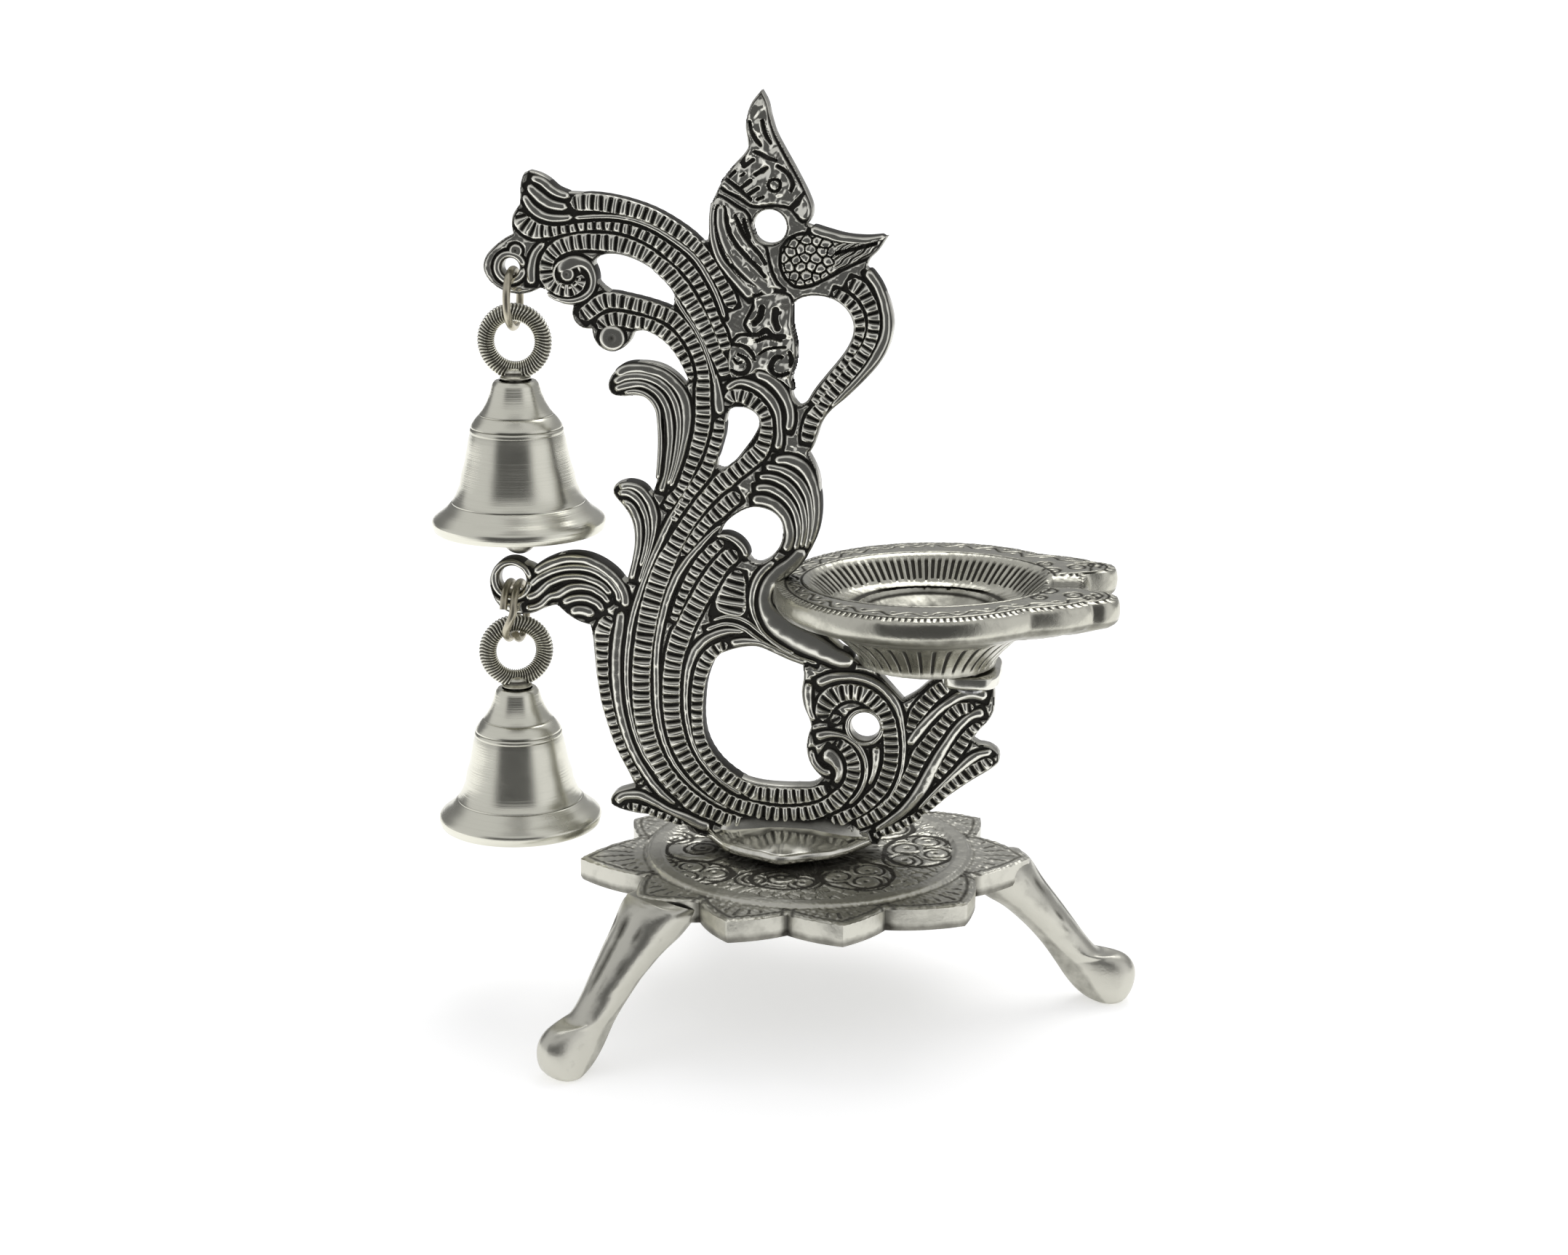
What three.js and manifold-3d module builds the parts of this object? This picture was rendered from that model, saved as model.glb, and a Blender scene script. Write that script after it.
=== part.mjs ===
// A peacock diya: an oil lamp bowl and two hanging bells on an openwork peacock casting.
// Millimetres, +Z up. The casting stands in the XZ plane and its front faces -Y.

import * as THREE from 'three';
import { mergeVertices } from 'three/addons/utils/BufferGeometryUtils.js';
import Module from 'manifold-3d';

const wasm = await Module();
wasm.setup();

// Shared clearances
const seatGap = 0.3;
const runningGap = 0.35;

// Peacock casting
const castingThickness = 5;
const groundThickness = 3.4;
const frondBevel = 0.7;
const slimFrond = 1.3;
const frondStep = 5;
const edgeFacets = 1;

// Foot of the casting
const footLength = 38;
const footDepth = 25;
const footThickness = 2.2;
const footLobe = 0.035;
const footCentreX = 1.2;
const footBossRadius = 6.5;
const footBossHeight = 1;
const footBlockThickness = 7.5;
const footBlockTop = 38;

// Lotus stand with three cast legs
const plateTop = 31;
const plateThickness = 4;
const plateCentreX = 5;
const notchRadius = 35;
const petalBulge = 0.62;
const discRadius = 32;
const discRise = 0.7;
const legAngles = [6, 117, 228];
const legRootHalfWidth = 8;

// Oil bowl
const bowlCentreX = 28.2;
const bowlBaseZ = 71;
const bowlHeight = 16.1;
const bowlRimTop = bowlBaseZ + bowlHeight;
const bowlRimRadius = 29.4;
const bowlRimThickness = 4.9;
const bowlMouthRadius = 24.1;
const bowlBaseRadius = 12.8;
const spoutReach = 37;
const spoutLobeRadius = 4.4;
const spoutLobeSpread = 11.2;

// The cup below the rim and the hollow above the floor, as shares of the rim's radius and of the height
const bowlCup = [[0.49, 0.1], [0.633, 0.31], [0.762, 0.51], [0.837, 0.67]];
const bowlHollow = [[0, 0.286], [0.17, 0.329], [0.34, 0.484], [0.442, 0.627], [0.53, 0.702]];

// Seat pad under the bowl
const padCentreX = 37;
const padLength = 11.4;
const padDepth = 18.8;
const padThickness = 2.6;
const rivetRadius = 1.4;
const rivetHeadRadius = 2.5;
const rivetHeadHeight = 1;
const rivetSpread = 6.2;
const rivetDepth = 2.4;

// Screw that holds the casting on the stand
const screwRadius = 2;
const screwHeadRadius = 4.2;
const screwHeadHeight = 2.4;
const screwReach = 5.2;
const slotWidth = 1;
const slotDepth = 1.1;
const washerRadius = 6;
const washerThickness = 0.8;

// Bells: the lower one is a little smaller than the upper one
const wireRadius = 0.75;
const splitRingPitch = 2;
const splitRingCrossing = 60;
const bellHeight = 29.4;
const bellRimRadius = 17;
const knurlOuterRadius = 7.5;
const knurlHoleRadius = 3.8;
const knurlThickness = 3.2;
const collarRadius = 3;
const collarHeight = 1.4;
const stemRadius = 1.3;
const crownThickness = 2.4;
const nutAcrossFlats = 5.5;
const nutThickness = 2;
const eyeRadius = 1.75;
const eyeHoleRadius = 0.95;
const eyeThickness = 1.4;
const clapperWireRadius = 0.4;
const clapperLoopRadius = 1.75;
const clapperRodRadius = 0.8;
const clapperBallRadius = 3.6;
const clapperBelowRim = 5;
const hangers = {
  upper: { x: -52.5, holeZ: 146.4, holeRadius: 1.75, ringRadius: 5.5, turns: 1, scale: 1, turn: 0 },
  lower: { x: -53.8, holeZ: 85, holeRadius: 2.5, ringRadius: 5.6, turns: 2, scale: 0.96, turn: 20 },
};

// Height at which the strut meets the seat pad
const strutTop = bowlBaseZ - 2;

// Outline of the casting, clockwise from the tip of the crest.
// Each row is one smooth stretch of [x, z], and the outline has a corner where rows meet.
const outline = [
  [[-4, 180], [-2.9, 178], [-2.6, 175.5], [-1.6, 172.5], [-0.3, 169.6], [1.5, 166.3], [3.2, 163.2],
    [4.5, 160.6], [5.3, 158.2], [5, 156.3], [4.2, 155.2]],
  [[7, 154.3], [10, 153.3], [13.5, 152.8], [17, 152.8], [19.6, 153.2]],
  [[18, 150.8], [16.1, 148.8], [15.6, 147.5]],
  [[17.4, 145.6], [19.2, 143], [20.3, 140.3], [20.8, 137.3], [20.6, 134.8], [19.8, 132.2], [18.2, 129.4],
    [15.5, 126.3], [12, 122.8], [9, 120.2], [7.3, 117.8], [6.4, 115.2], [5.6, 113], [4.9, 111.8]],
  [[6, 109.6], [6.8, 106.8], [6.9, 103.5], [6.8, 100], [6.3, 96.5], [5.4, 93.2], [3.4, 90.5],
    [1.2, 88.6], [-0.7, 87.3], [-1.6, 85.8], [-1.7, 84], [-1.6, 81.5]],
  [[2.6, 81.4]],
  [[7.6, 77.1], [11.6, 73.7], [15, 70.7]],
  [[18.5, 70.6]],
  [[18.8, 68.6], [21, 66.2], [23.6, 63.1]],
  [[26.2, 64.8], [28.6, 67], [31.6, strutTop]],
  [[40.6, strutTop]],
  [[41.2, 66.6], [41.4, 64.2], [41.3, 62], [40.2, 59.8], [38.3, 57.6], [37.4, 56]],
  [[38.6, 54.9], [40.6, 54.6], [42.4, 53.3], [42.5, 51.6], [41, 50], [38, 48], [35, 45.8], [32, 43.4],
    [29.8, 41.3], [28.3, 40.3]],
  [[25, 38], [22.3, 36.7], [20, 35.2], [19, 33.4]],
  [[-16.6, 33.4]],
  [[-19, 35.3], [-22, 36.2], [-26, 37.3], [-30, 37.7], [-33, 38.4], [-34.7, 39.3], [-34.8, 40.6],
    [-33.6, 42], [-31.5, 42.6], [-29.8, 43]],
  [[-31, 46], [-32.7, 49.3], [-34.3, 53], [-35.5, 57], [-36.5, 61], [-37.2, 65.5], [-37.5, 70],
    [-37.8, 74], [-38.3, 76.3]],
  [[-40.2, 76.8], [-42.3, 77.9], [-44, 79.3], [-45, 80.2]],
  [[-47.2, 79.5], [-49.5, 78.4], [-51.5, 78], [-54.3, 78.1], [-56.8, 79.7], [-58.1, 82.2], [-58.4, 85],
    [-57.2, 87.4], [-54.8, 88.6], [-52, 88.8], [-49.8, 88.2], [-48.6, 87.2]],
  [[-46.5, 88.9], [-44.5, 90.1], [-42.3, 90.5], [-39.5, 90.1], [-36.5, 88.9], [-33.8, 87.2],
    [-30.9, 85.3]],
  [[-30.3, 87.5], [-29.6, 90.5], [-29.2, 93.5], [-29.4, 96.5], [-30.4, 99.2], [-32, 101.3],
    [-33.2, 102.8], [-33, 104.2], [-31.3, 105.2], [-29.4, 105.1], [-27.5, 104.2], [-25.6, 102.8]],
  [[-24.8, 105], [-24.1, 108], [-23.6, 111], [-23.3, 114.5], [-23.4, 118], [-24.5, 120.6],
    [-26.3, 121.8], [-28.5, 122.2], [-31.3, 122], [-33.2, 122.4], [-33.9, 123.9], [-33.3, 125.8],
    [-31.5, 127.4], [-28.8, 128.4], [-25.8, 128.5], [-22.8, 127.7], [-20.3, 126], [-18.7, 124.4]],
  [[-18.3, 126.5], [-19, 128.5], [-20.3, 130.6], [-22.2, 132.5], [-24.5, 134], [-27, 134.8],
    [-28.8, 134.4]],
  [[-29.4, 132.9], [-30.8, 131.4], [-33, 130.6], [-35.2, 131.3], [-36.5, 133], [-36.9, 134.9]],
  [[-38.6, 135], [-40.1, 136.1], [-40.7, 137.8], [-40.4, 139.3]],
  [[-42.5, 139.6], [-44.6, 141], [-45.9, 142.4], [-46.8, 142.5]],
  [[-48.6, 141.7], [-50.6, 141.3], [-53.2, 141.6], [-55.4, 142.6], [-57.1, 144.2], [-57.9, 146.2],
    [-57.3, 148.4], [-55.6, 150.3], [-53.5, 151.8], [-51.8, 152.6]],
  [[-52.1, 154.4], [-51.8, 156.2], [-50.4, 158.3]],
  [[-50.3, 160], [-50.1, 162.2], [-49.4, 163.9], [-48.5, 164.4]],
  [[-46.6, 163.9], [-44.8, 162.9], [-43.7, 161.5], [-42, 160.6], [-39, 160.5], [-35, 160.2],
    [-31, 159.3], [-27, 158.2], [-23, 156.8], [-20, 155.1], [-17.5, 153.3], [-15.6, 151.7],
    [-14.3, 151.9]],
  [[-14, 154], [-13.8, 156.5], [-13.2, 159.3], [-12.2, 161.8], [-10.7, 164.3], [-9, 166.4],
    [-7.2, 168.3], [-6.5, 169.4]],
  [[-6.7, 171.3], [-7, 173.2], [-6.7, 175.4], [-5.9, 177.6], [-4, 180]],
];

// Openings of the casting, as smooth stretches of [x, z] with a corner where rows meet
const archWindow = [
  [[-36.3, 147.8], [-34.9, 148.9], [-32, 149.2], [-29, 148.5], [-26, 147.1], [-23.5, 145.2],
    [-21.7, 143.2], [-20.7, 141.2], [-21.2, 139.2]],
  [[-23.5, 139.5], [-26.5, 140.5], [-30, 141.4], [-33.2, 142.1]],
  [[-35.2, 143.6], [-36, 145.8], [-36.3, 147.8]],
];
const neckWindow = [
  [[3.2, 120.9], [2, 122.3], [1.6, 125], [2, 128], [2.7, 131], [2.3, 134], [1.7, 137], [1.9, 140.3],
    [3.6, 141.6], [6.5, 142], [9.5, 141.4], [11.9, 139.7], [13.3, 137.2], [13.3, 134.8], [12.3, 132.4],
    [10.5, 129.8], [8.2, 127], [6, 124.2], [4.3, 121.5], [3.2, 120.9]],
];
const teardropWindow = [
  [[-12.9, 108.6], [-12.5, 111], [-11.9, 114], [-11.2, 117], [-10.3, 119.9], [-8.5, 120.5],
    [-6.4, 120], [-4.9, 118.8], [-4.6, 117.2], [-5.6, 115], [-7.5, 112.3], [-9.7, 109.6], [-11.8, 108.2],
    [-12.9, 108.6]],
];
const shellWindow = [
  [[-12.3, 95.8], [-11.2, 97.7], [-9, 99.6], [-6.3, 100.9], [-4.2, 100.9], [-2, 100.1], [-0.5, 98.6],
    [0, 96.6], [-0.3, 94.3], [-1.4, 92.2], [-3, 90.6], [-4.9, 89.8], [-6.2, 90.3], [-6.9, 91.8],
    [-7.8, 93.3], [-9.3, 94.3], [-11.6, 94.9], [-12.3, 95.8]],
];
const bodyWindow = [
  [[-10.5, 72.2], [-8, 72.9], [-5, 73.1], [-2, 72], [1, 70.7], [3.9, 69.7]],
  [[4.1, 67.5], [3.7, 64.5], [4.1, 61.5], [5.2, 58.8], [5.6, 57.2]],
  [[4.9, 55], [4.7, 52.5], [5.3, 50], [6.6, 48], [8, 46.7]],
  [[6, 45.2], [3, 44.9], [-1, 44.8], [-5, 45.1], [-8.8, 46.2], [-11.5, 47.9], [-14, 50.4],
    [-15.5, 53.5], [-16, 57.5], [-15.9, 61.5], [-15.4, 65.3], [-14.5, 68.7], [-13, 71], [-10.5, 72.2]],
];
const windows = [archWindow, neckWindow, teardropWindow, shellWindow, bodyWindow];
const roundHoles = [
  { centre: [-2.5, 154.8], radius: 3.2 },
  { centre: [16.2, 57.7], radius: 2.9 },
];

// Raised fronds that lie on the ground of the casting: [x, z, half width] along each middle line
const fronds = {
  archOuter: [[-40.5, 158.9, 1.5], [-37, 159, 1.7], [-33, 158.6, 1.7], [-29, 157.8, 1.6],
    [-25, 156.5, 1.5], [-21, 154.4, 1.45], [-17.5, 152, 1.35], [-14.8, 149.2, 1.25], [-12.7, 146, 1.2],
    [-11, 142.8, 1.15], [-9.7, 139.3, 1]],
  archBeads: [[-50.6, 156.8, 1.1], [-49.6, 155.1, 1.5], [-47.6, 153.7, 1.4], [-45, 153.3, 1.1],
    [-42, 153.7, 0.85], [-38, 154.3, 0.8], [-34, 154.6, 0.8], [-30, 154.2, 0.85], [-26, 152.8, 0.9],
    [-22.5, 150.7, 0.95], [-19.5, 148.4, 1], [-17, 145.4, 1], [-15, 142, 1], [-13.4, 138.2, 0.95],
    [-12, 134.5, 0.9], [-10.8, 130.8, 0.8]],
  archInner: [[-40.6, 141.9, 1.2], [-43, 142.2, 1.2], [-45, 144, 1.2], [-45.5, 146.6, 1.2],
    [-44.4, 149.3, 1.3], [-42, 151, 1.4], [-38, 151.8, 1.4], [-34, 151.7, 1.35], [-31, 151.2, 1.35],
    [-28, 150.1, 1.35], [-25.5, 148.7, 1.4], [-23.5, 147, 1.5], [-21.3, 145, 1.6], [-19.3, 142.8, 1.7],
    [-17.4, 139.9, 1.6], [-15.6, 137, 1.5], [-14.4, 134.4, 1.4], [-13.3, 131.6, 1.2], [-12.2, 129, 1.1],
    [-11.2, 126.2, 0.9]],
  lowerArch: [[-39.2, 137.2, 1.2], [-37, 138.6, 1.5], [-35, 140, 1.6], [-32.5, 140.8, 1.4],
    [-29.5, 140.3, 1.3], [-26.5, 139.6, 1.25], [-23.7, 138.8, 1.2], [-21.4, 137.9, 1.2],
    [-19.6, 136.4, 1.2], [-18, 134.3, 1.2], [-16.8, 132, 1.2], [-15.9, 129.8, 1.2], [-15.3, 127.2, 1.25],
    [-15.1, 124, 1.3], [-15.1, 121, 1.3], [-15.2, 118, 1.3], [-15.6, 115, 1.25], [-16.4, 112, 1.2],
    [-17.5, 109.4, 1.1], [-18.6, 106.8, 1], [-19.8, 104.3, 0.9]],
  buttonStem: [[-35.4, 135.6, 1.1], [-34, 136.9, 1.15], [-31.8, 137.2, 1.1], [-29, 136.7, 1.1],
    [-26, 135.9, 1.1], [-23.5, 134.6, 1.1], [-21.3, 132.7, 1.1], [-19.6, 130.4, 1.05],
    [-18.4, 127.6, 0.9]],
  backLadder: [[-12.2, 121.5, 0.9], [-12.1, 118.6, 1.1], [-12.5, 115.5, 1.2], [-13.2, 112.6, 1.25],
    [-14.2, 109.6, 1.25], [-15.6, 106.9, 1.2], [-17.2, 104.6, 1.1], [-18.9, 102.3, 1], [-20.4, 99.9, 0.8]],
  mainLadder: [[-11.2, 121.2, 0.9], [-9.7, 122.9, 1.1], [-7.3, 122.8, 1.2], [-5, 121.4, 1.2],
    [-3.5, 119.2, 1.15], [-2.9, 116.6, 1.1], [-3.2, 114.2, 1.15], [-4.5, 112, 1.2], [-6.6, 110.2, 1.3],
    [-9.2, 108.2, 1.4], [-11.8, 105.8, 1.45], [-14.2, 103.2, 1.45], [-16.6, 100.2, 1.4],
    [-18.6, 97.2, 1.4], [-20.6, 94, 1.6], [-22.5, 90.7, 1.9], [-24, 87.2, 2.1], [-25.4, 83.2, 2.1],
    [-26.5, 79, 2.1], [-27.3, 74.5, 2], [-27.9, 70, 2], [-28.2, 65.5, 1.95], [-28.2, 61, 1.95],
    [-27.8, 56.8, 1.9], [-26.8, 52.8, 1.85], [-25.2, 49, 1.8], [-23, 45.6, 1.8], [-20.2, 42.6, 1.75],
    [-17.2, 40.4, 1.6], [-14, 38.6, 1.4], [-10.5, 37.3, 1.2], [-7, 36.6, 1]],
  teardropRim: [[-11, 123.9, 0.5], [-8.5, 125.3, 0.6], [-5.5, 124.8, 0.7], [-2.8, 122.7, 0.7],
    [-1.1, 120, 0.65], [-0.6, 117.2, 0.6], [-0.7, 114.5, 0.6], [-1.4, 112, 0.5]],
  shellLadder: [[-8.3, 103.5, 0.9], [-10.3, 102.3, 1.2], [-12.3, 100.5, 1.25], [-14.3, 98.4, 1.25],
    [-16.3, 95.9, 1.2], [-18.2, 93.3, 1]],
  middleLadder: [[-9.2, 92.4, 1.2], [-11.2, 90.3, 1.5], [-13.4, 87.5, 1.6], [-15.5, 84.5, 1.6],
    [-17.3, 81.3, 1.6], [-19, 78, 1.6], [-20.3, 74.5, 1.6], [-21.2, 71, 1.6], [-21.8, 67, 1.6],
    [-22, 63, 1.6], [-21.9, 59, 1.5], [-21.3, 55.3, 1.5], [-20.3, 52, 1.5], [-18.7, 48.8, 1.5],
    [-16.6, 45.8, 1.45], [-14, 43.2, 1.4], [-10.9, 41.1, 1.3], [-7.3, 39.8, 1.25], [-3.3, 39.2, 1.25],
    [0.8, 39, 1.25], [4.6, 39.4, 1.25], [8, 40.5, 1.3], [11, 42.3, 1.4], [13, 44.8, 1.4],
    [14, 47.8, 1.4], [13.9, 50.8, 1.35], [12.6, 53.2, 1.2]],
  innerLadder: [[-12.6, 72.4, 0.9], [-14.3, 70.9, 1.25], [-15.7, 68.2, 1.3], [-16.6, 65, 1.3],
    [-17, 61.5, 1.3], [-17.1, 57.6, 1.3], [-16.6, 54, 1.3], [-15.3, 50.9, 1.35], [-13.1, 48.1, 1.35],
    [-10.5, 45.8, 1.35], [-7.3, 44, 1.4], [-3.7, 43, 1.4], [0, 42.8, 1.4], [3.7, 43, 1.35],
    [6.8, 43.6, 1], [9.4, 45, 0.5]],
  innerRidge: [[-7.5, 76.3, 0.5], [-11, 76.4, 0.6], [-14.3, 75.2, 0.6], [-16.9, 72.7, 0.6],
    [-18.5, 69.5, 0.6], [-19.2, 65.5, 0.6], [-19.3, 61, 0.55], [-18.9, 57, 0.5], [-18, 53.2, 0.5]],
  outerRidge: [[-32.2, 79.5, 0.7], [-32.6, 76, 0.9], [-33.2, 72, 0.9], [-33.4, 68, 0.9],
    [-33.3, 64, 0.9], [-32.9, 60, 0.85], [-32.1, 56, 0.8], [-30.9, 52.2, 0.75], [-29.2, 48.5, 0.7],
    [-27, 45.2, 0.65], [-24.3, 42.2, 0.6], [-21.5, 39.8, 0.5]],
  outerLadder: [[-34.4, 78, 1.2], [-35.6, 75, 1.4], [-36, 71.5, 1.4], [-36.1, 68, 1.3],
    [-35.8, 64.3, 1.2], [-35.2, 60.5, 1.2], [-34.3, 56.8, 1.1], [-33, 53, 1.1], [-31.5, 49.5, 1],
    [-29.9, 46.5, 0.8]],
  headCrest: [[-4.2, 178, 0.8], [-4.7, 175, 1.5], [-4.4, 172, 2], [-3.3, 169.3, 2.1], [-1.5, 166.6, 2.2]],
  neckOuter: [[-12.9, 159.5, 0.8], [-12.9, 155.5, 1.3], [-12, 151.6, 1.5], [-10, 148.3, 1.5],
    [-7.4, 145.7, 1.4], [-4.6, 143.3, 1.3]],
  neckInner: [[-9.6, 157.6, 1.2], [-8.8, 154, 1.5], [-7.2, 151, 1.5], [-5, 148.6, 1.4], [-2.6, 146.4, 1.3],
    [-0.6, 144, 1]],
  beak: [[1.8, 158.6, 1], [3.4, 159.2, 1.2], [4.2, 157.8, 1]],
  wing: [[1.8, 148, 3.4], [5, 148.6, 4.4], [8.5, 149.8, 3.6], [12, 151, 2.3], [15.5, 151.9, 1.3]],
  bandMiddle: [[12.3, 144.6, 1], [14.6, 143.2, 1.3], [16.3, 141, 1.3], [17.2, 138.4, 1.25],
    [17.1, 135.5, 1.25], [16.1, 132.7, 1.3], [14.4, 129.9, 1.4], [12.2, 127, 1.4], [9.9, 124.2, 1.4],
    [7.7, 121.5, 1.3], [6.1, 118.8, 1.2], [5.2, 116, 1]],
  bigLeafTop: [[-32.2, 125.6, 1], [-30, 127, 1.3], [-26.5, 127.2, 1.4], [-23.3, 126, 1.3],
    [-21, 123.6, 1.2], [-19.7, 120.6, 1.1], [-19.4, 117, 0.9], [-19.8, 113.4, 0.8], [-20.7, 109.8, 0.7]],
  bigLeafSide: [[-32.4, 123.4, 0.9], [-29.6, 124, 1.2], [-27, 123.8, 1.3], [-24.8, 122.2, 1.3],
    [-23.2, 119.6, 1.2], [-22.4, 116, 1.1], [-22.4, 112, 1], [-22.9, 108, 0.9], [-23.8, 104.3, 0.7]],
  smallLeaf: [[-32, 103.4, 1], [-30, 103.6, 1.3], [-28.2, 102.2, 1.4], [-27.3, 99.3, 1.3],
    [-27.2, 96, 1.2], [-27.8, 92.6, 1.1], [-28.8, 89.2, 0.9]],
  shellOuter: [[-1.8, 109.9, 0.9], [1.5, 109.8, 1.2], [4, 108, 1.3], [5.5, 105, 1.3], [6, 101.4, 1.1],
    [5.8, 97.6, 1], [4.9, 94.2, 0.8]],
  shellMiddle: [[-4, 107.3, 1], [-1, 107, 1.3], [1.8, 105.2, 1.4], [3.7, 102.2, 1.3], [4.4, 98.8, 1.2],
    [4.2, 95.4, 1], [3.4, 92.4, 0.9]],
  shellInner: [[-5.6, 104, 1], [-3, 104, 1.3], [-0.4, 102.8, 1.3], [1.4, 100.4, 1.2], [2.3, 97.4, 1.1],
    [2.1, 94.4, 1], [1, 91.8, 0.9]],
  tail: [[0.4, 90, 1.5], [-2, 87.6, 1.7], [-3.6, 84.8, 1.7], [-3.7, 81.6, 1.8], [-1.7, 78.6, 2.2],
    [2, 76, 2.6], [6, 73.8, 2.4], [10, 72.3, 2]],
  armRidge: [[-10.5, 74, 0.7], [-7.5, 74.6, 0.8], [-4.5, 74.2, 0.8], [-1.5, 72.7, 0.8], [2, 71.1, 0.8],
    [6, 70.2, 0.7], [10, 69.9, 0.6]],
  sideArmTop: [[-49.5, 86, 0.9], [-46.5, 87.9, 1.2], [-42.8, 89.2, 1.2], [-39, 89, 1.3],
    [-35.7, 87.4, 1.3], [-33, 85, 1.2], [-31.7, 82.2, 0.9]],
  sideArmMiddle: [[-50.6, 81.4, 0.8], [-48.2, 83.2, 1.1], [-45.3, 85.1, 1.2], [-41.8, 86.1, 1.3],
    [-38, 85.8, 1.3], [-35.2, 84, 1.2]],
  sideArmCurl: [[-43.8, 81, 1], [-41.5, 82.3, 1.3], [-38.6, 82.3, 1.3], [-36.4, 80.9, 1.1],
    [-37.2, 79, 1]],
  lowLeaf: [[-33.4, 40, 1], [-31.5, 40.9, 1.2], [-28.5, 40.8, 1.3], [-25.5, 39.7, 1.2],
    [-22.3, 38.4, 1.1], [-19, 37, 1], [-16, 36, 0.8]],
  lowCurl: [[5.9, 53.4, 0.9], [6.2, 50.8, 1.1], [7.8, 49, 1.1], [10, 48.6, 1], [11.2, 50.2, 1],
    [10.2, 52, 1.2], [8.4, 52.6, 1.3]],
  highCurl: [[8, 58.9, 1.4], [8.1, 61.2, 1.5], [9.7, 63.4, 1.45], [12.2, 64.6, 1.4], [14.9, 64.7, 1.4],
    [17.4, 63.6, 1.4], [19.5, 61.6, 1.35], [20.9, 58.9, 1.3], [21.5, 56, 1.3], [21.7, 52.8, 1.3],
    [21.4, 49.8, 1.3], [20.5, 47, 1.3], [19.1, 44.5, 1.3], [17.2, 42.2, 1.3], [14.9, 40.3, 1.2],
    [12.3, 38.9, 1.1]],
  curlRim: [[5, 66, 0.8], [4.9, 63.4, 0.8], [5.4, 60.7, 0.7], [6.3, 58.3, 0.6]],
  curlRidge: [[7, 66.2, 0.6], [10, 67.2, 0.7], [13.5, 67.6, 0.7], [17, 66.8, 0.7], [20, 65, 0.7],
    [22, 62.4, 0.65], [23.3, 59.3, 0.6], [24, 55.8, 0.55], [24, 52, 0.5]],
  bracketLadder: [[25, 57, 0.9], [26, 59.3, 1.1], [27.6, 61.6, 1.2], [29.4, 63.6, 1.2], [31.2, 65.4, 1.1]],
  bracketRidge: [[24.6, 54.3, 0.7], [26.8, 57.4, 0.9], [29.3, 60.4, 1], [32, 62.8, 1], [35, 64.4, 1],
    [38.4, 64.8, 0.9]],
  leafLadder: [[37.5, 62, 1.1], [34.7, 61.4, 1.3], [32.3, 59.4, 1.3], [30.3, 56.8, 1.3],
    [28.3, 53.9, 1.3], [26.6, 51, 1.3], [25.2, 48.1, 1.25], [23.8, 45.3, 1.2], [21.9, 42.7, 1.2],
    [19.5, 40.4, 1.15], [16.9, 38.7, 1]],
  leafRidge: [[39.2, 60.6, 0.9], [37, 60, 0.9], [35, 58.4, 0.9], [33, 55.6, 1], [31.2, 52.4, 1],
    [29.6, 49.1, 1.1], [28, 45.9, 1.1], [26, 42.7, 1], [23.5, 39.9, 0.8]],
  lastLeaf: [[40.9, 52.6, 1.2], [38.6, 51.2, 1.4], [36, 49.2, 1.4], [33.4, 46.9, 1.3], [31, 44.6, 1.2],
    [28.9, 42.4, 1]],
};
const studs = [
  { centre: [-32.9, 133.3], radius: 2.7 },
  { centre: [-41.4, 145.3], radius: 1.6 },
  { centre: [-8, 129.3], radius: 2.4 },
  { centre: [-0.2, 129.5], radius: 2.2 },
];

// Petal notches round the stand, in degrees, and how far each petal reaches from its centre.
// The side petals are longer, and each leg grows out of one petal.
const petals = [
  { from: -16.6, reach: 44 }, { from: 22.8, reach: 41 }, { from: 52, reach: 41 },
  { from: 83, reach: 41 }, { from: 114, reach: 41 }, { from: 144, reach: 41 },
  { from: 174.6, reach: 45.5 }, { from: 211.9, reach: 42 }, { from: 241, reach: 41.5 },
  { from: 270.8, reach: 41 }, { from: 302, reach: 42 },
];

// One leg seen from the side: [distance from the stand's centre, height]
const legTopEdge = [[43.5, 30.6], [46.4, 26], [50, 21.3], [53.5, 16.5], [56.5, 12.4], [59, 10],
  [61.6, 10.1], [64, 9.4], [65.7, 7.2], [65.7, 4], [64.4, 1.2], [62, 0]];
const legUnderEdge = [[58.2, 0], [55.2, 1.3], [52.3, 4.2], [49.6, 8.2], [47, 12], [44.3, 15.2],
  [41, 18.5], [38, 21], [34.5, 22.6], [31, 24.5]];
// Half width of the leg at each distance
const legWidths = [[30, 0.95], [38, 0.9], [43, 0.7], [49, 0.52], [56, 0.44], [60, 0.52], [64, 0.54],
  [67, 0.4]];

// Materials
const oxidised = new THREE.MeshStandardMaterial({ color: 0x8f8d86, roughness: 0.42, metalness: 1 });
const castSilver = new THREE.MeshStandardMaterial({ color: 0xa9a69c, roughness: 0.38, metalness: 1 });
const turnedSilver = new THREE.MeshStandardMaterial({ color: 0xc9c6b8, roughness: 0.22, metalness: 1 });
const wireSteel = new THREE.MeshStandardMaterial({ color: 0xb9b4a2, roughness: 0.3, metalness: 1 });
const screwSteel = new THREE.MeshStandardMaterial({ color: 0x9a9a98, roughness: 0.4, metalness: 1 });

// Solids
function solid(geometry) {
  const bare = geometry.clone();
  bare.deleteAttribute('normal');
  bare.deleteAttribute('uv');
  const merged = mergeVertices(bare, 1e-4);
  return new wasm.Manifold(new wasm.Mesh({
    numProp: 3,
    vertProperties: new Float32Array(merged.attributes.position.array),
    triVerts: new Uint32Array(merged.index.array),
  }));
}

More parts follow.
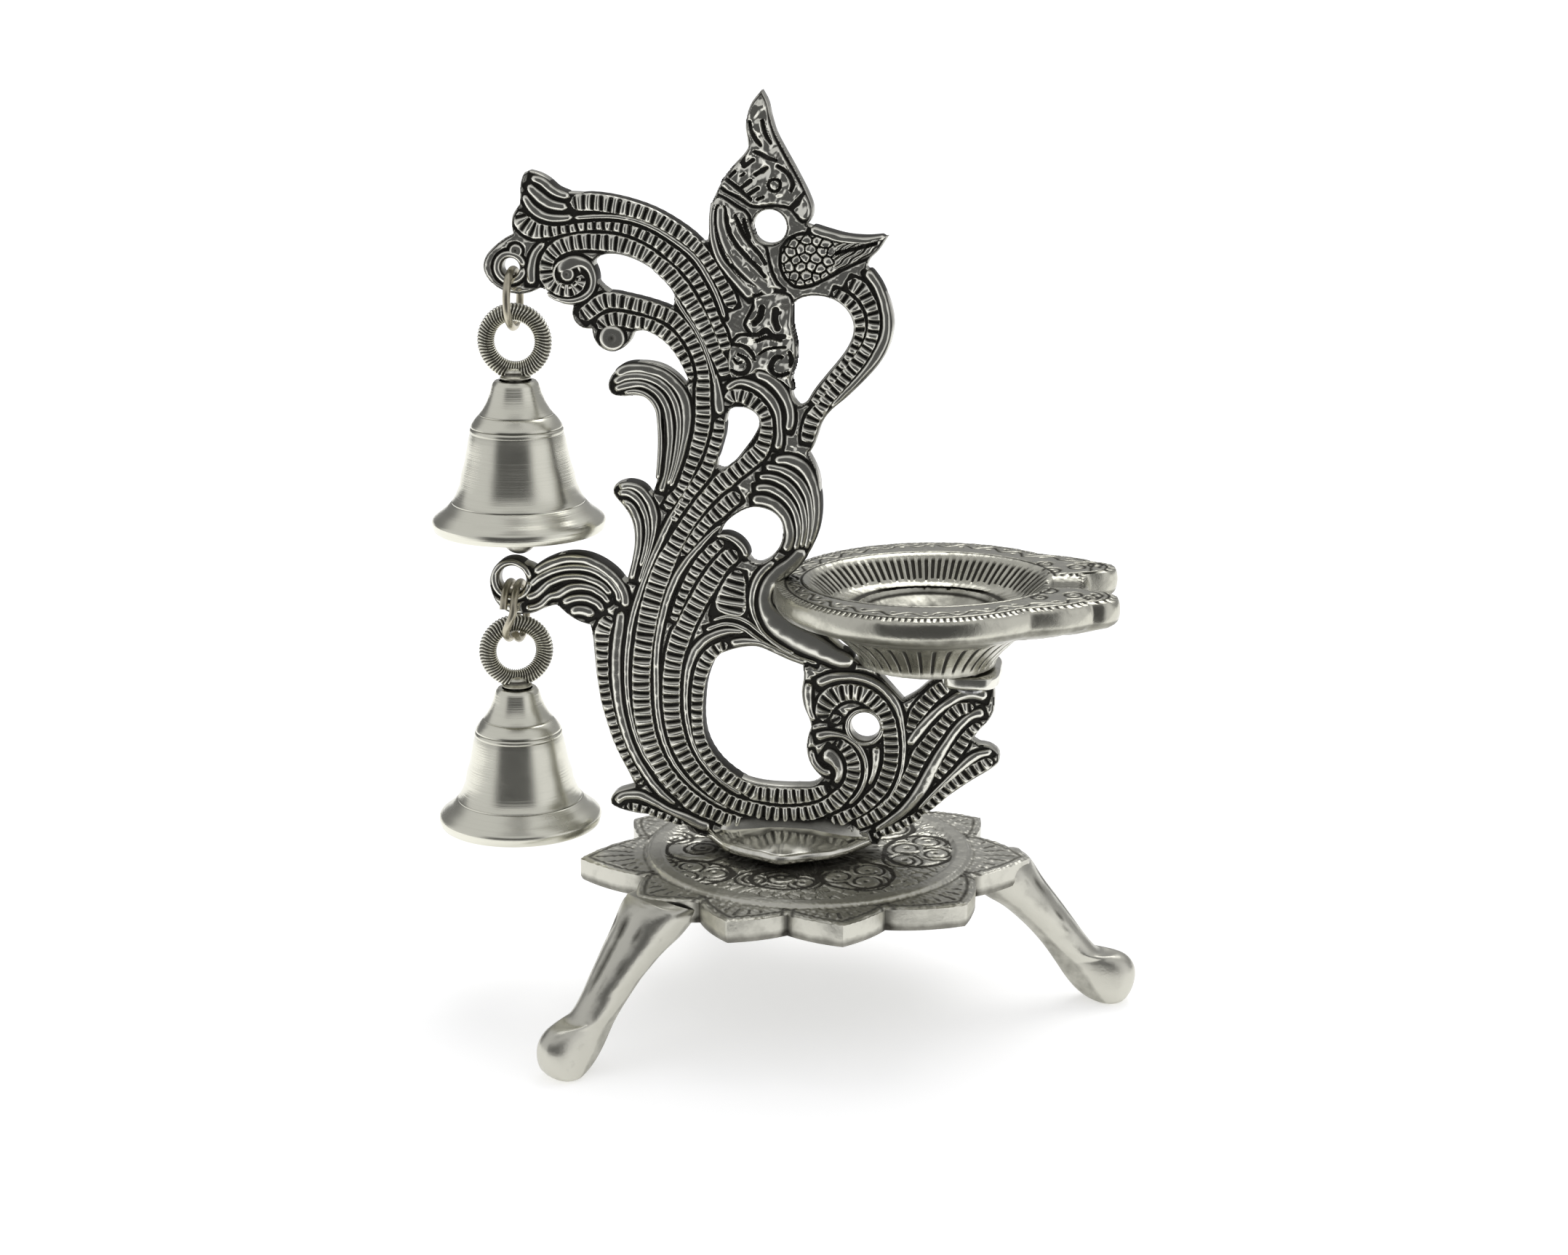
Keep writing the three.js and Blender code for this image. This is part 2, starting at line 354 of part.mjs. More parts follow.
function union(solids) {
  return solids.reduce((sum, next) => sum.add(next));
}

function piece(name, body, material) {
  const { vertProperties, triVerts } = body.getMesh();
  const geometry = new THREE.BufferGeometry();
  geometry.setAttribute('position', new THREE.BufferAttribute(new Float32Array(vertProperties), 3));
  geometry.setIndex(new THREE.BufferAttribute(new Uint32Array(triVerts), 1));
  geometry.computeVertexNormals();
  const mesh = new THREE.Mesh(geometry, material);
  mesh.name = name;
  return mesh;
}

// A shape drawn in X and Z, extruded along Y and centred on the plane of the casting
function standing(shape, thickness, bevel = 0, facets = edgeFacets) {
  const geometry = new THREE.ExtrudeGeometry(shape, {
    depth: thickness - 2 * bevel,
    curveSegments: facets,
    bevelEnabled: bevel > 0,
    bevelThickness: bevel,
    bevelSize: bevel,
    bevelOffset: -bevel,
    bevelSegments: 1,
  });
  geometry.translate(0, 0, -thickness / 2 + bevel);
  geometry.rotateX(Math.PI / 2);
  return solid(geometry);
}

// A shape drawn in X and Y, extruded upwards from a height
function lying(shape, bottom, height, facets, bevel = 0) {
  const geometry = new THREE.ExtrudeGeometry(shape, {
    depth: height - 2 * bevel,
    curveSegments: facets,
    bevelEnabled: bevel > 0,
    bevelThickness: bevel,
    bevelSize: bevel,
    bevelOffset: -bevel,
    bevelSegments: 1,
  });
  geometry.translate(0, 0, bottom + bevel);
  return solid(geometry);
}

// A turned solid about the Z axis from [radius, height] points
function turned(profile, segments) {
  const points = profile.map(([radius, height]) => new THREE.Vector2(radius, height));
  const geometry = new THREE.LatheGeometry(points, segments);
  geometry.rotateX(Math.PI / 2);
  return solid(geometry);
}

function rod(radius, bottom, height, segments = 20) {
  return turned([[0, bottom], [radius, bottom], [radius, bottom + height], [0, bottom + height]], segments);
}

function rodAlongY(radius, length, x, z, segments = 20) {
  return rod(radius, -length / 2, length, segments).rotate([90, 0, 0]).translate([x, 0, z]);
}

// A closed outline from smooth stretches, each of which goes on from the end of the one before
function stretches(rows) {
  const [start, ...firstRow] = rows[0];
  const shape = new THREE.Shape().moveTo(...start);
  for (const row of [firstRow, ...rows.slice(1)]) {
    if (row.length === 1) shape.lineTo(...row[0]);
    else shape.splineThru(row.map(([x, z]) => new THREE.Vector2(x, z)));
  }
  return shape;
}

// The outline of a frond: its middle line, offset by its half width on each side, with round ends
function frondShape(points) {
  const middle = new THREE.CatmullRomCurve3(points.map((p) => new THREE.Vector3(...p)), false, 'centripetal');
  const count = Math.max(4, Math.round(middle.getLength() / frondStep));
  const left = [];
  const right = [];
  for (let i = 0; i <= count; i += 1) {
    const at = middle.getPointAt(i / count);
    const along = middle.getTangentAt(i / count);
    const heading = Math.atan2(along.y, along.x);
    const side = new THREE.Vector2(-Math.sin(heading), Math.cos(heading)).multiplyScalar(at.z);
    left.push(new THREE.Vector2(at.x + side.x, at.y + side.y));
    right.push(new THREE.Vector2(at.x - side.x, at.y - side.y));
  }
  const nose = (i) => {
    const at = middle.getPointAt(i);
    const along = middle.getTangentAt(i);
    const reach = (i === 0 ? -1 : 1) * at.z * 0.8;
    const length = Math.hypot(along.x, along.y);
    return new THREE.Vector2(at.x + (along.x / length) * reach, at.y + (along.y / length) * reach);
  };
  return new THREE.Shape([nose(0), ...right, nose(1), ...left.reverse()]);
}

// Peacock casting
const padTop = bowlBaseZ - seatGap;
const footBottom = plateTop + discRise + seatGap;
const flangeBottom = footBottom + footBossHeight;

// The flange is a lobed kite in plan, with a blunt point at the front
function kite(share) {
  return Math.sign(share) * Math.abs(share) ** 1.3;
}

function footFlange() {
  const shape = new THREE.Shape();
  const count = 40;
  for (let i = 0; i < count; i += 1) {
    const angle = (i / count) * 2 * Math.PI;
    const lobe = 1 + footLobe * Math.cos(8 * angle);
    const x = footCentreX + (footLength / 2) * lobe * kite(Math.cos(angle));
    const y = (footDepth / 2) * lobe * kite(Math.sin(angle));
    if (i === 0) shape.moveTo(x, y);
    else shape.lineTo(x, y);
  }
  shape.closePath();
  return lying(shape, flangeBottom, footThickness, 1, 0.5);
}

function footBlock() {
  const half = footLength / 2 - 3;
  const shape = new THREE.Shape([
    new THREE.Vector2(footCentreX - half, flangeBottom + 0.5),
    new THREE.Vector2(footCentreX + half, flangeBottom + 0.5),
    new THREE.Vector2(footCentreX + half - 3, footBlockTop),
    new THREE.Vector2(footCentreX - half + 5, footBlockTop),
  ]);
  return standing(shape, footBlockThickness, 1.2);
}

function seatPad() {
  const half = padLength / 2;
  const reach = padDepth / 2;
  const corner = 3;
  const shape = new THREE.Shape();
  shape.moveTo(padCentreX - half, -reach + corner);
  shape.lineTo(padCentreX - half, reach - corner);
  shape.quadraticCurveTo(padCentreX - half, reach, padCentreX - half + corner, reach);
  shape.lineTo(padCentreX + half - corner, reach);
  shape.quadraticCurveTo(padCentreX + half, reach, padCentreX + half, reach - corner);
  shape.lineTo(padCentreX + half, -reach + corner);
  shape.quadraticCurveTo(padCentreX + half, -reach, padCentreX + half - corner, -reach);
  shape.lineTo(padCentreX - half + corner, -reach);
  shape.quadraticCurveTo(padCentreX - half, -reach, padCentreX - half, -reach + corner);
  return lying(shape, padTop - padThickness, padThickness, 3, 0.4);
}

function rivetHoles(radius) {
  const holes = [-1, 1].map((side) => rod(radius, padTop - padThickness - 1, padThickness + 2, 16)
    .translate([padCentreX, side * rivetSpread, 0]));
  return union(holes);
}

function peacockFrame() {
  const relief = Object.values(fronds).map((points) => {
    const narrowest = Math.min(...points.map((p) => p[2]));
    const bevel = narrowest < slimFrond ? 0 : Math.min(frondBevel, narrowest * 0.6);
    return standing(frondShape(points), castingThickness, bevel);
  });
  for (const { centre, radius } of studs) {
    const half = castingThickness / 2;
    const stud = turned([[0, -half], [radius - frondBevel, -half], [radius, frondBevel - half],
      [radius, half - frondBevel], [radius - frondBevel, half], [0, half]], 16);
    relief.push(stud.rotate([90, 0, 0]).translate([centre[0], 0, centre[1]]));
  }
  const boss = rod(footBossRadius, footBottom, footBossHeight + 1, 28).translate([footCentreX, 0, 0]);
  const ground = standing(stretches(outline), groundThickness);
  let frame = union([ground, ...relief, footFlange(), footBlock(), boss, seatPad()]);
  for (const rows of windows) frame = frame.subtract(standing(stretches(rows), castingThickness * 2));
  for (const { centre, radius } of roundHoles) {
    frame = frame.subtract(rodAlongY(radius, castingThickness * 2, ...centre, 20));
  }
  for (const { x, holeZ, holeRadius } of Object.values(hangers)) {
    frame = frame.subtract(rodAlongY(holeRadius, castingThickness * 2, x, holeZ, 20));
  }
  frame = frame.subtract(bowlClearance());
  const tapped = rod(screwRadius + seatGap, footBottom - 1, screwReach + seatGap + 1, 20);
  return frame.subtract(tapped.translate([footCentreX, 0, 0])).subtract(rivetHoles(rivetRadius + seatGap));
}

// Lotus stand: the plate and its three legs are one casting
function petalShape() {
  const shape = new THREE.Shape();
  petals.forEach(({ from, reach }, i) => {
    const to = petals[(i + 1) % petals.length].from + (i === petals.length - 1 ? 360 : 0);
    const polar = (angle, radius) => {
      const turn = THREE.MathUtils.degToRad(angle);
      return [plateCentreX + radius * Math.cos(turn), radius * Math.sin(turn)];
    };
    const span = to - from;
    if (i === 0) shape.moveTo(...polar(from, notchRadius));
    const bulge = (reach - notchRadius) * petalBulge + notchRadius;
    shape.quadraticCurveTo(...polar(from + span * 0.2, bulge), ...polar(from + span * 0.5, reach));
    shape.quadraticCurveTo(...polar(to - span * 0.2, bulge), ...polar(to, notchRadius));
  });
  return shape;
}

function leg(angle) {
  const side = new THREE.Shape([[31, plateTop - 1], ...legTopEdge, ...legUnderEdge]
    .map(([reach, height]) => new THREE.Vector2(reach, height)));
  const half = legWidths.map(([reach, share]) => [reach, share * legRootHalfWidth]);
  const plan = new THREE.Shape([
    ...half.map(([reach, width]) => new THREE.Vector2(reach, width)),
    ...half.slice().reverse().map(([reach, width]) => new THREE.Vector2(reach, -width)),
  ]);
  const slab = standing(side, 2 * legRootHalfWidth, 2.6);
  return slab.intersect(lying(plan, -1, plateTop + 2, 1)).rotate([0, 0, angle])
    .translate([plateCentreX, 0, 0]);
}

function lotusStand() {
  const plateBottom = plateTop - plateThickness;
  const disc = rod(discRadius, plateTop - 1, 1 + discRise, 56).translate([plateCentreX, 0, 0]);
  const plate = lying(petalShape(), plateBottom, plateThickness, 4, 0.4).add(disc);
  const hole = rod(screwRadius + runningGap, plateBottom - 1, plateThickness + discRise + 2, 20);
  return union([plate, ...legAngles.map(leg)]).subtract(hole.translate([footCentreX, 0, 0]));
}

function standScrew() {
  const plateBottom = plateTop - plateThickness;
  const headTop = plateBottom - 2 * seatGap - washerThickness;
  const top = footBottom + screwReach;
  const shank = rod(screwRadius, headTop - 0.5, top - headTop + 0.5, 20);
  const head = turned([[0, headTop - screwHeadHeight], [screwHeadRadius - 0.8, headTop - screwHeadHeight],
    [screwHeadRadius, headTop - screwHeadHeight + 0.8], [screwHeadRadius, headTop], [0, headTop]], 28);
  const slot = new THREE.BoxGeometry(3 * screwHeadRadius, slotWidth, 2 * slotDepth);
  slot.translate(0, 0, headTop - screwHeadHeight);
  return shank.add(head).subtract(solid(slot)).translate([footCentreX, 0, 0]);
}

function standWasher() {
  const top = plateTop - plateThickness - seatGap;
  const hole = rod(screwRadius + runningGap, top - 2 * washerThickness, 4 * washerThickness, 20);
  const disc = rod(washerRadius, top - washerThickness, washerThickness, 32);
  return disc.subtract(hole).translate([footCentreX, 0, 0]);
}

// Oil bowl with a two-pronged wick spout
function bowlSide() {
  const rimBottom = bowlRimTop - bowlRimThickness;
  const cup = bowlCup.map(([radius, level]) => [radius * bowlRimRadius, bowlBaseZ + level * bowlHeight]);
  return [[bowlBaseRadius, bowlBaseZ], ...cup, [bowlRimRadius - 1, rimBottom],
    [bowlRimRadius, rimBottom + 1.2], [bowlRimRadius, bowlRimTop - 1.7], [bowlRimRadius - 1.1, bowlRimTop]];
}

function bowlClearance() {
  const grown = bowlSide().map(([radius, height]) => [radius + runningGap, height - runningGap]);
  const profile = [[0, grown[0][1]], ...grown, [grown.at(-1)[0], bowlRimTop + 1], [0, bowlRimTop + 1]];
  return turned(profile, 48).translate([bowlCentreX, 0, 0]);
}

function spoutShape(inset) {
  const lobe = spoutLobeRadius - inset;
  const tipX = bowlCentreX + spoutReach - spoutLobeRadius;
  const shoulder = bowlRimRadius - inset;
  const turn = THREE.MathUtils.degToRad(50);
  const shape = new THREE.Shape();
  shape.moveTo(bowlCentreX, -shoulder + 4);
  shape.lineTo(bowlCentreX + shoulder * Math.cos(turn), -shoulder * Math.sin(turn));
  shape.quadraticCurveTo(tipX - 9, -spoutLobeSpread - lobe - 1.5, tipX - 2, -spoutLobeSpread - lobe);
  shape.absarc(tipX, -spoutLobeSpread, lobe, -Math.PI / 2, Math.PI / 2, false);
  shape.quadraticCurveTo(tipX - 5.5, 0, tipX, spoutLobeSpread - lobe);
  shape.absarc(tipX, spoutLobeSpread, lobe, -Math.PI / 2, Math.PI / 2, false);
  shape.quadraticCurveTo(tipX - 9, spoutLobeSpread + lobe + 1.5, bowlCentreX + shoulder * Math.cos(turn),
    shoulder * Math.sin(turn));
  shape.lineTo(bowlCentreX, shoulder - 4);
  return shape;
}

function bowl() {
  const rimBottom = bowlRimTop - bowlRimThickness;
  const outside = turned([[0, bowlBaseZ], ...bowlSide(), [0, bowlRimTop]], 48)
    .translate([bowlCentreX, 0, 0]);
  const hollow = bowlHollow.map(([radius, level]) => [radius * bowlRimRadius, bowlBaseZ + level * bowlHeight]);
  const inside = turned([...hollow, [bowlMouthRadius - 0.8, bowlRimTop - 0.5],
    [bowlMouthRadius, bowlRimTop + 0.3], [bowlMouthRadius, bowlRimTop + 2], [0, bowlRimTop + 2]], 48)
    .translate([bowlCentreX, 0, 0]);
  const spout = lying(spoutShape(0), rimBottom + 0.4, bowlRimThickness - 0.4, 6, 0.8);
  const troughReach = spoutReach - 2 * spoutLobeRadius;
  const trough = rod(2.4 * spoutLobeRadius, -troughReach / 2, troughReach, 24).scale([0.3, 1, 1])
    .rotate([0, 90, 0]).translate([bowlCentreX + troughReach / 2 + 4, 0, bowlRimTop + 0.6]);
  const blind = rod(rivetRadius + seatGap, bowlBaseZ - 1, rivetDepth + seatGap + 1, 16);
  const blinds = union([-1, 1].map((side) => blind.translate([padCentreX, side * rivetSpread, 0])));
  return outside.add(spout).subtract(inside).subtract(trough).subtract(blinds);
}

function bowlRivets() {
  const headTop = padTop - padThickness - seatGap;
  const shank = rod(rivetRadius, headTop - 0.3, bowlBaseZ + rivetDepth - headTop + 0.3, 16);
  const head = turned([[0, headTop - rivetHeadHeight], [rivetHeadRadius * 0.6, headTop - rivetHeadHeight],
    [rivetHeadRadius, headTop - rivetHeadHeight * 0.4], [rivetHeadRadius, headTop], [0, headTop]], 20);
  const rivet = shank.add(head);
  return [-1, 1].map((side) => rivet.translate([padCentreX, side * rivetSpread, 0]));
}

// Wire rings: one closed ring above, and a split ring of two turns below
class SplitRingPath extends THREE.Curve {
  constructor(radius) {
    super();
    this.radius = radius;
  }

  getPoint(t, target = new THREE.Vector3()) {
    const crossing = splitRingCrossing / 360;
    const turns = crossing + t * (2 - crossing);
    const blend = THREE.MathUtils.smoothstep(turns, 1, 1 + crossing);
    const angle = 2 * Math.PI * turns - Math.PI * 0.75;
    return target.set((blend - 0.5) * splitRingPitch, this.radius * Math.sin(angle),
      this.radius * Math.cos(angle));
  }
}

function leastSelfGap(path, stepsPerTurn) {
  const points = path.getPoints(2 * stepsPerTurn);
  let least = Infinity;
  points.forEach((a, i) => {
    for (let j = i + Math.round(stepsPerTurn / 2); j < points.length; j += 1) {
      least = Math.min(least, a.distanceTo(points[j]));
    }
  });
  return least - 2 * wireRadius;
}

function wireRing({ x, ringRadius, turns }, ringZ) {
  if (turns === 1) {
    const ring = new THREE.TorusGeometry(ringRadius, wireRadius, 8, 32);
    ring.rotateY(Math.PI / 2);
    return solid(ring).translate([x, 0, ringZ]);
  }
  const path = new SplitRingPath(ringRadius);
  const stepsPerTurn = 24;
  console.log('split ring: least gap between its turns', leastSelfGap(path, 10 * stepsPerTurn).toFixed(2));
  const sides = 8;
  const section = new THREE.Shape(Array.from({ length: sides }, (_, i) => new THREE.Vector2(
    wireRadius * Math.cos((i / sides) * 2 * Math.PI),
    wireRadius * Math.sin((i / sides) * 2 * Math.PI),
  )));
  const tube = new THREE.ExtrudeGeometry(section, {
    steps: 2 * stepsPerTurn,
    extrudePath: path,
  });
  return solid(tube).translate([x, 0, ringZ]);
}

// Bell shell: shares of the rim's radius and of the bell's height
const bellOutside = [[0.248, 1], [0.291, 0.93], [0.418, 0.79], [0.442, 0.785], [0.521, 0.7], [0.545, 0.68],
  [0.582, 0.59], [0.624, 0.47], [0.691, 0.33], [0.8, 0.21], [0.83, 0.205], [0.909, 0.14], [0.988, 0.085],
  [1, 0.06], [0.994, 0.02], [0.976, 0]];
const bellInside = [[0.903, 0], [0.861, 0.08], [0.739, 0.18], [0.6, 0.33], [0.533, 0.47], [0.485, 0.6],
  [0.327, 0.75]];
const crownInsideShare = 0.23;

function bellShell(scale) {
  const height = bellHeight * scale;
  const rim = bellRimRadius * scale;
  const crownUnder = height - crownThickness;
  const outside = bellOutside.map(([radius, level]) => [radius * rim, level * height]);
  const inside = bellInside.map(([radius, level]) => [radius * rim, level * height]);
  const cap = [[crownInsideShare * rim, crownUnder], [0, crownUnder]];
  const shell = turned([[0, 0], ...outside.reverse(), [0, height]], 32);
  const hollow = turned([[0, -1], [bellInside[0][0] * rim, -1], ...inside, ...cap], 32);
  return shell.subtract(hollow).subtract(rod(stemRadius + seatGap, 0, height + 2, 16));
}

// The knurled ring, its stem and the eye are one piece, which carries the shell and the clapper
function bellRing(ringZ, bellTop, eyeZ) {
  const bulge = knurlThickness / 2;
  const middle = (knurlOuterRadius + knurlHoleRadius) / 2;
  const half = (knurlOuterRadius - knurlHoleRadius) / 2;
  const section = [];
  for (let i = 0; i <= 10; i += 1) {
    const angle = (i / 10) * 2 * Math.PI;
    section.push([middle + half * Math.cos(angle), bulge * Math.sin(angle)]);
  }
  const ring = turned(section, 32).rotate([90, 0, 0]).translate([0, 0, ringZ]);
  const collarBottom = bellTop + seatGap;
  const collarTop = ringZ - knurlOuterRadius + half;
  const collar = turned([[0, collarBottom], [collarRadius, collarBottom], [collarRadius, collarBottom + 0.5],
    [collarRadius * 0.7, collarBottom + collarHeight], [collarRadius * 0.5, collarTop], [0, collarTop]], 24);
  const stem = rod(stemRadius, eyeZ, collarBottom - eyeZ + 0.5, 16);
  const eye = rodAlongY(eyeRadius, eyeThickness, 0, eyeZ, 20);
  const waist = new THREE.BoxGeometry(3 * stemRadius, 3 * stemRadius, eyeRadius + 1.2);
  waist.translate(0, 0, eyeZ + (eyeRadius + 1.2) / 2);
  const flat = new THREE.BoxGeometry(3 * stemRadius, eyeThickness, eyeRadius + 1.2);
  flat.translate(0, 0, eyeZ + (eyeRadius + 1.2) / 2);
  const flattened = stem.subtract(solid(waist).subtract(solid(flat)));
  return union([ring, collar, flattened, eye]).subtract(rodAlongY(eyeHoleRadius, 4, 0, eyeZ, 20));
}

function stemNut(top) {
  const hexagon = rod(nutAcrossFlats / Math.sqrt(3), top - nutThickness, nutThickness, 6);
  return hexagon.subtract(rod(stemRadius + seatGap, top - 2 * nutThickness, 3 * nutThickness, 16));
}

function clapper(eyeZ, bottom) {
  const loopZ = eyeZ - clapperLoopRadius;
  const loop = new THREE.TorusGeometry(clapperLoopRadius, clapperWireRadius, 8, 20);
  loop.rotateY(Math.PI / 2);
  const rodTop = loopZ - clapperLoopRadius + clapperWireRadius / 2;
  const ballZ = bottom + clapperBallRadius;
  const shaft = rod(clapperRodRadius, ballZ, rodTop - ballZ, 12);
  const ball = new THREE.SphereGeometry(clapperBallRadius, 20, 12);
  ball.rotateX(Math.PI / 2);
  return union([solid(loop).translate([0, 0, loopZ]), shaft, solid(ball).translate([0, 0, ballZ])]);
}

function hangingBell(place, hanger) {
  const group = new THREE.Group();
  const slack = hanger.holeRadius - wireRadius - runningGap;
  const spread = ((hanger.turns - 1) * splitRingPitch) / 2;
  const ringTop = hanger.holeZ - Math.sqrt(slack * slack - spread * spread);
  const ringZ = ringTop - hanger.ringRadius;
  const linkZ = ringZ - hanger.ringRadius;
  const knurlZ = linkZ + wireRadius + seatGap - knurlHoleRadius;
  const bellTop = knurlZ - knurlOuterRadius - 0.1;
  const bellBottom = bellTop - bellHeight * hanger.scale;
  const crownUnder = bellTop - crownThickness;
  const nutTop = crownUnder - seatGap;
  const eyeZ = nutTop - nutThickness - eyeRadius - 0.6;
  const shell = bellShell(hanger.scale).translate([0, 0, bellBottom]);
  const hung = [
    piece(`${place}_bell_ring`, bellRing(knurlZ, bellTop, eyeZ), castSilver),
    piece(`${place}_bell_shell`, shell, turnedSilver),
    piece(`${place}_stem_nut`, stemNut(nutTop), screwSteel),
    piece(`${place}_clapper`, clapper(eyeZ, bellBottom - clapperBelowRim), castSilver),
  ];
  for (const mesh of hung) {
    mesh.position.x = hanger.x;
    mesh.rotation.z = THREE.MathUtils.degToRad(hanger.turn);
    group.add(mesh);
  }
  group.add(piece(`${place}_wire_ring`, wireRing(hanger, ringZ), wireSteel));
  return group;
}

// Assembly, moved so that the middle of its box stands over the origin
const diya = new THREE.Group();
diya.add(piece('lotus_stand', lotusStand(), castSilver));
diya.add(piece('peacock_frame', peacockFrame(), oxidised));
diya.add(piece('oil_bowl', bowl(), castSilver));
diya.add(piece('stand_screw', standScrew(), screwSteel));
diya.add(piece('stand_washer', standWasher(), screwSteel));
bowlRivets().forEach((rivet, i) => diya.add(piece(['front', 'back'][i] + '_bowl_rivet', rivet, screwSteel)));
for (const [place, hanger] of Object.entries(hangers)) diya.add(hangingBell(place, hanger));

diya.updateMatrixWorld(true);
const box = new THREE.Box3().setFromObject(diya, true);
const middle = box.getCenter(new THREE.Vector3());
diya.position.set(-middle.x, -middle.y, -box.min.z);
diya.updateMatrixWorld(true);

export default diya;
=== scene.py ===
"""A peacock diya: an oxidised silver-coloured oil lamp with two hanging bells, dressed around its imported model.

Shapes are written in millimetres in the peacock's own frame: X to the right along the flat casting, Y away from the
viewer and Z up from the floor. place() turns them into metres in the model's frame.
"""

import math

import bpy
import numpy as np
from mathutils import Matrix, Vector


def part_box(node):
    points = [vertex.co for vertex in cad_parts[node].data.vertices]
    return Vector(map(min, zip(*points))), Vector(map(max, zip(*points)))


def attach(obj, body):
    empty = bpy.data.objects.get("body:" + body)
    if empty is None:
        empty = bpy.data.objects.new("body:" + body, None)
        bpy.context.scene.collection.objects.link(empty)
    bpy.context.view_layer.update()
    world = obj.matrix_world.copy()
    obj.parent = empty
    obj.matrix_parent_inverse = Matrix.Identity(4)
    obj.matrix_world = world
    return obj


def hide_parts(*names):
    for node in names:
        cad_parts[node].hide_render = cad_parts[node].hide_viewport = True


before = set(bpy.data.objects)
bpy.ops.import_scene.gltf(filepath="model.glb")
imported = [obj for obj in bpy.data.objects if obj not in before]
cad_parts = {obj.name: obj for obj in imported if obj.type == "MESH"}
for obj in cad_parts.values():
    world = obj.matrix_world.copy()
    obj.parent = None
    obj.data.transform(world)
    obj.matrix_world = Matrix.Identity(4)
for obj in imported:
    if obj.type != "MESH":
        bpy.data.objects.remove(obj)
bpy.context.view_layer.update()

MM = 0.001
LOWER_HANG_X = -53.8
ring_low, ring_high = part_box("lower_bell_ring")
SHIFT = np.array([
    (ring_low[0] + ring_high[0]) / 2 / MM - LOWER_HANG_X,
    (ring_low[1] + ring_high[1]) / 2 / MM,
    0.0,
])
upper_low, upper_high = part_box("upper_bell_ring")
HANG_X = {"lower": LOWER_HANG_X, "upper": (upper_low[0] + upper_high[0]) / 2 / MM - SHIFT[0]}


def node_top(name):
    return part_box(name)[1][2] / MM


def node_bottom(name):
    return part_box(name)[0][2] / MM


def place(points):
    """Millimetres in the peacock's frame to metres in the model's frame."""
    return (np.asarray(points, float) + SHIFT) * MM


# Meshes. A form is (vertices, faces, patina): patina is 0 on bright metal and 1 in the darkest groove
# On the stand's plate under the peacock's foot, the patina attribute also holds painted shade
def mesh_piece(name, form, material, body, hides, sharp=None):
    """The dressed piece made of a form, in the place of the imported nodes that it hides."""
    vertices, faces, patina = form
    mesh = bpy.data.meshes.new(name)
    mesh.from_pydata(place(vertices).tolist(), [], [tuple(int(i) for i in face) for face in faces])
    mesh.validate()
    mesh.polygons.foreach_set("use_smooth", [True] * len(mesh.polygons))
    if sharp is not None:
        mesh.set_sharp_from_angle(angle=math.radians(sharp))
    layer = mesh.attributes.new("patina", "FLOAT", "POINT")
    layer.data.foreach_set("value", np.asarray(patina, float)[: len(mesh.vertices)])
    mesh.materials.append(material)
    piece = bpy.data.objects.new(name, mesh)
    bpy.context.scene.collection.objects.link(piece)
    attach(piece, body)
    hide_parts(*hides)


def grid_faces(rows, columns, wrap_rows=False, wrap_columns=False, flip=False):
    """Quads over a grid of vertices numbered row by row."""
    last_row = rows if wrap_rows else rows - 1
    last_column = columns if wrap_columns else columns - 1
    i = np.arange(last_row)[:, None]
    j = np.arange(last_column)[None, :]
    here = i * columns + j
    right = i * columns + (j + 1) % columns
    below = ((i + 1) % rows) * columns + j
    across = ((i + 1) % rows) * columns + (j + 1) % columns
    order = (here, right, across, below) if flip else (here, below, across, right)
    return np.stack([np.broadcast_to(a, (last_row, last_column)) for a in order], axis=-1).reshape(-1, 4)


def joined(parts):
    """One form out of several."""
    vertices, faces, patina, start = [], [], [], 0
    for part_vertices, part_faces, part_patina in parts:
        vertices.append(part_vertices)
        faces.extend((np.asarray(f) + start).tolist() for f in part_faces)
        patina.append(part_patina)
        start += len(part_vertices)
    return np.concatenate(vertices), faces, np.concatenate(patina)


def bump_at(x, centre, width):
    return np.exp(-(((x - centre) / width) ** 2))


def ease(x, low, high):
    t = np.clip((x - low) / (high - low), 0, 1)
    return t * t * (3 - 2 * t)


def full_turn(count):
    """Angles evenly round a circle, in radians."""
    return np.linspace(0, 2 * math.pi, count, endpoint=False)


def squared_off(angle, power):
    """Cosine and sine of a circle that a power below 1 squares off and a power above 1 pinches into a kite."""
    cos, sin = np.cos(angle), np.sin(angle)
    return np.sign(cos) * np.abs(cos) ** power, np.sign(sin) * np.abs(sin) ** power


def rough_noise(x, y, z=0.0, scale=1.0, seed=0):
    """Smooth noise from summed waves about scale millimetres long, mostly between -1 and 1."""
    rng = np.random.default_rng(seed)
    total = np.zeros(np.broadcast(x, y, z).shape)
    for octave in range(7):
        wave = rng.normal(size=3)
        wave *= (0.8 + 0.35 * octave) * 2 * math.pi / scale / np.linalg.norm(wave)
        total += np.sin(x * wave[0] + y * wave[1] + z * wave[2] + rng.uniform(0, 6.3))
    return total / 3.2


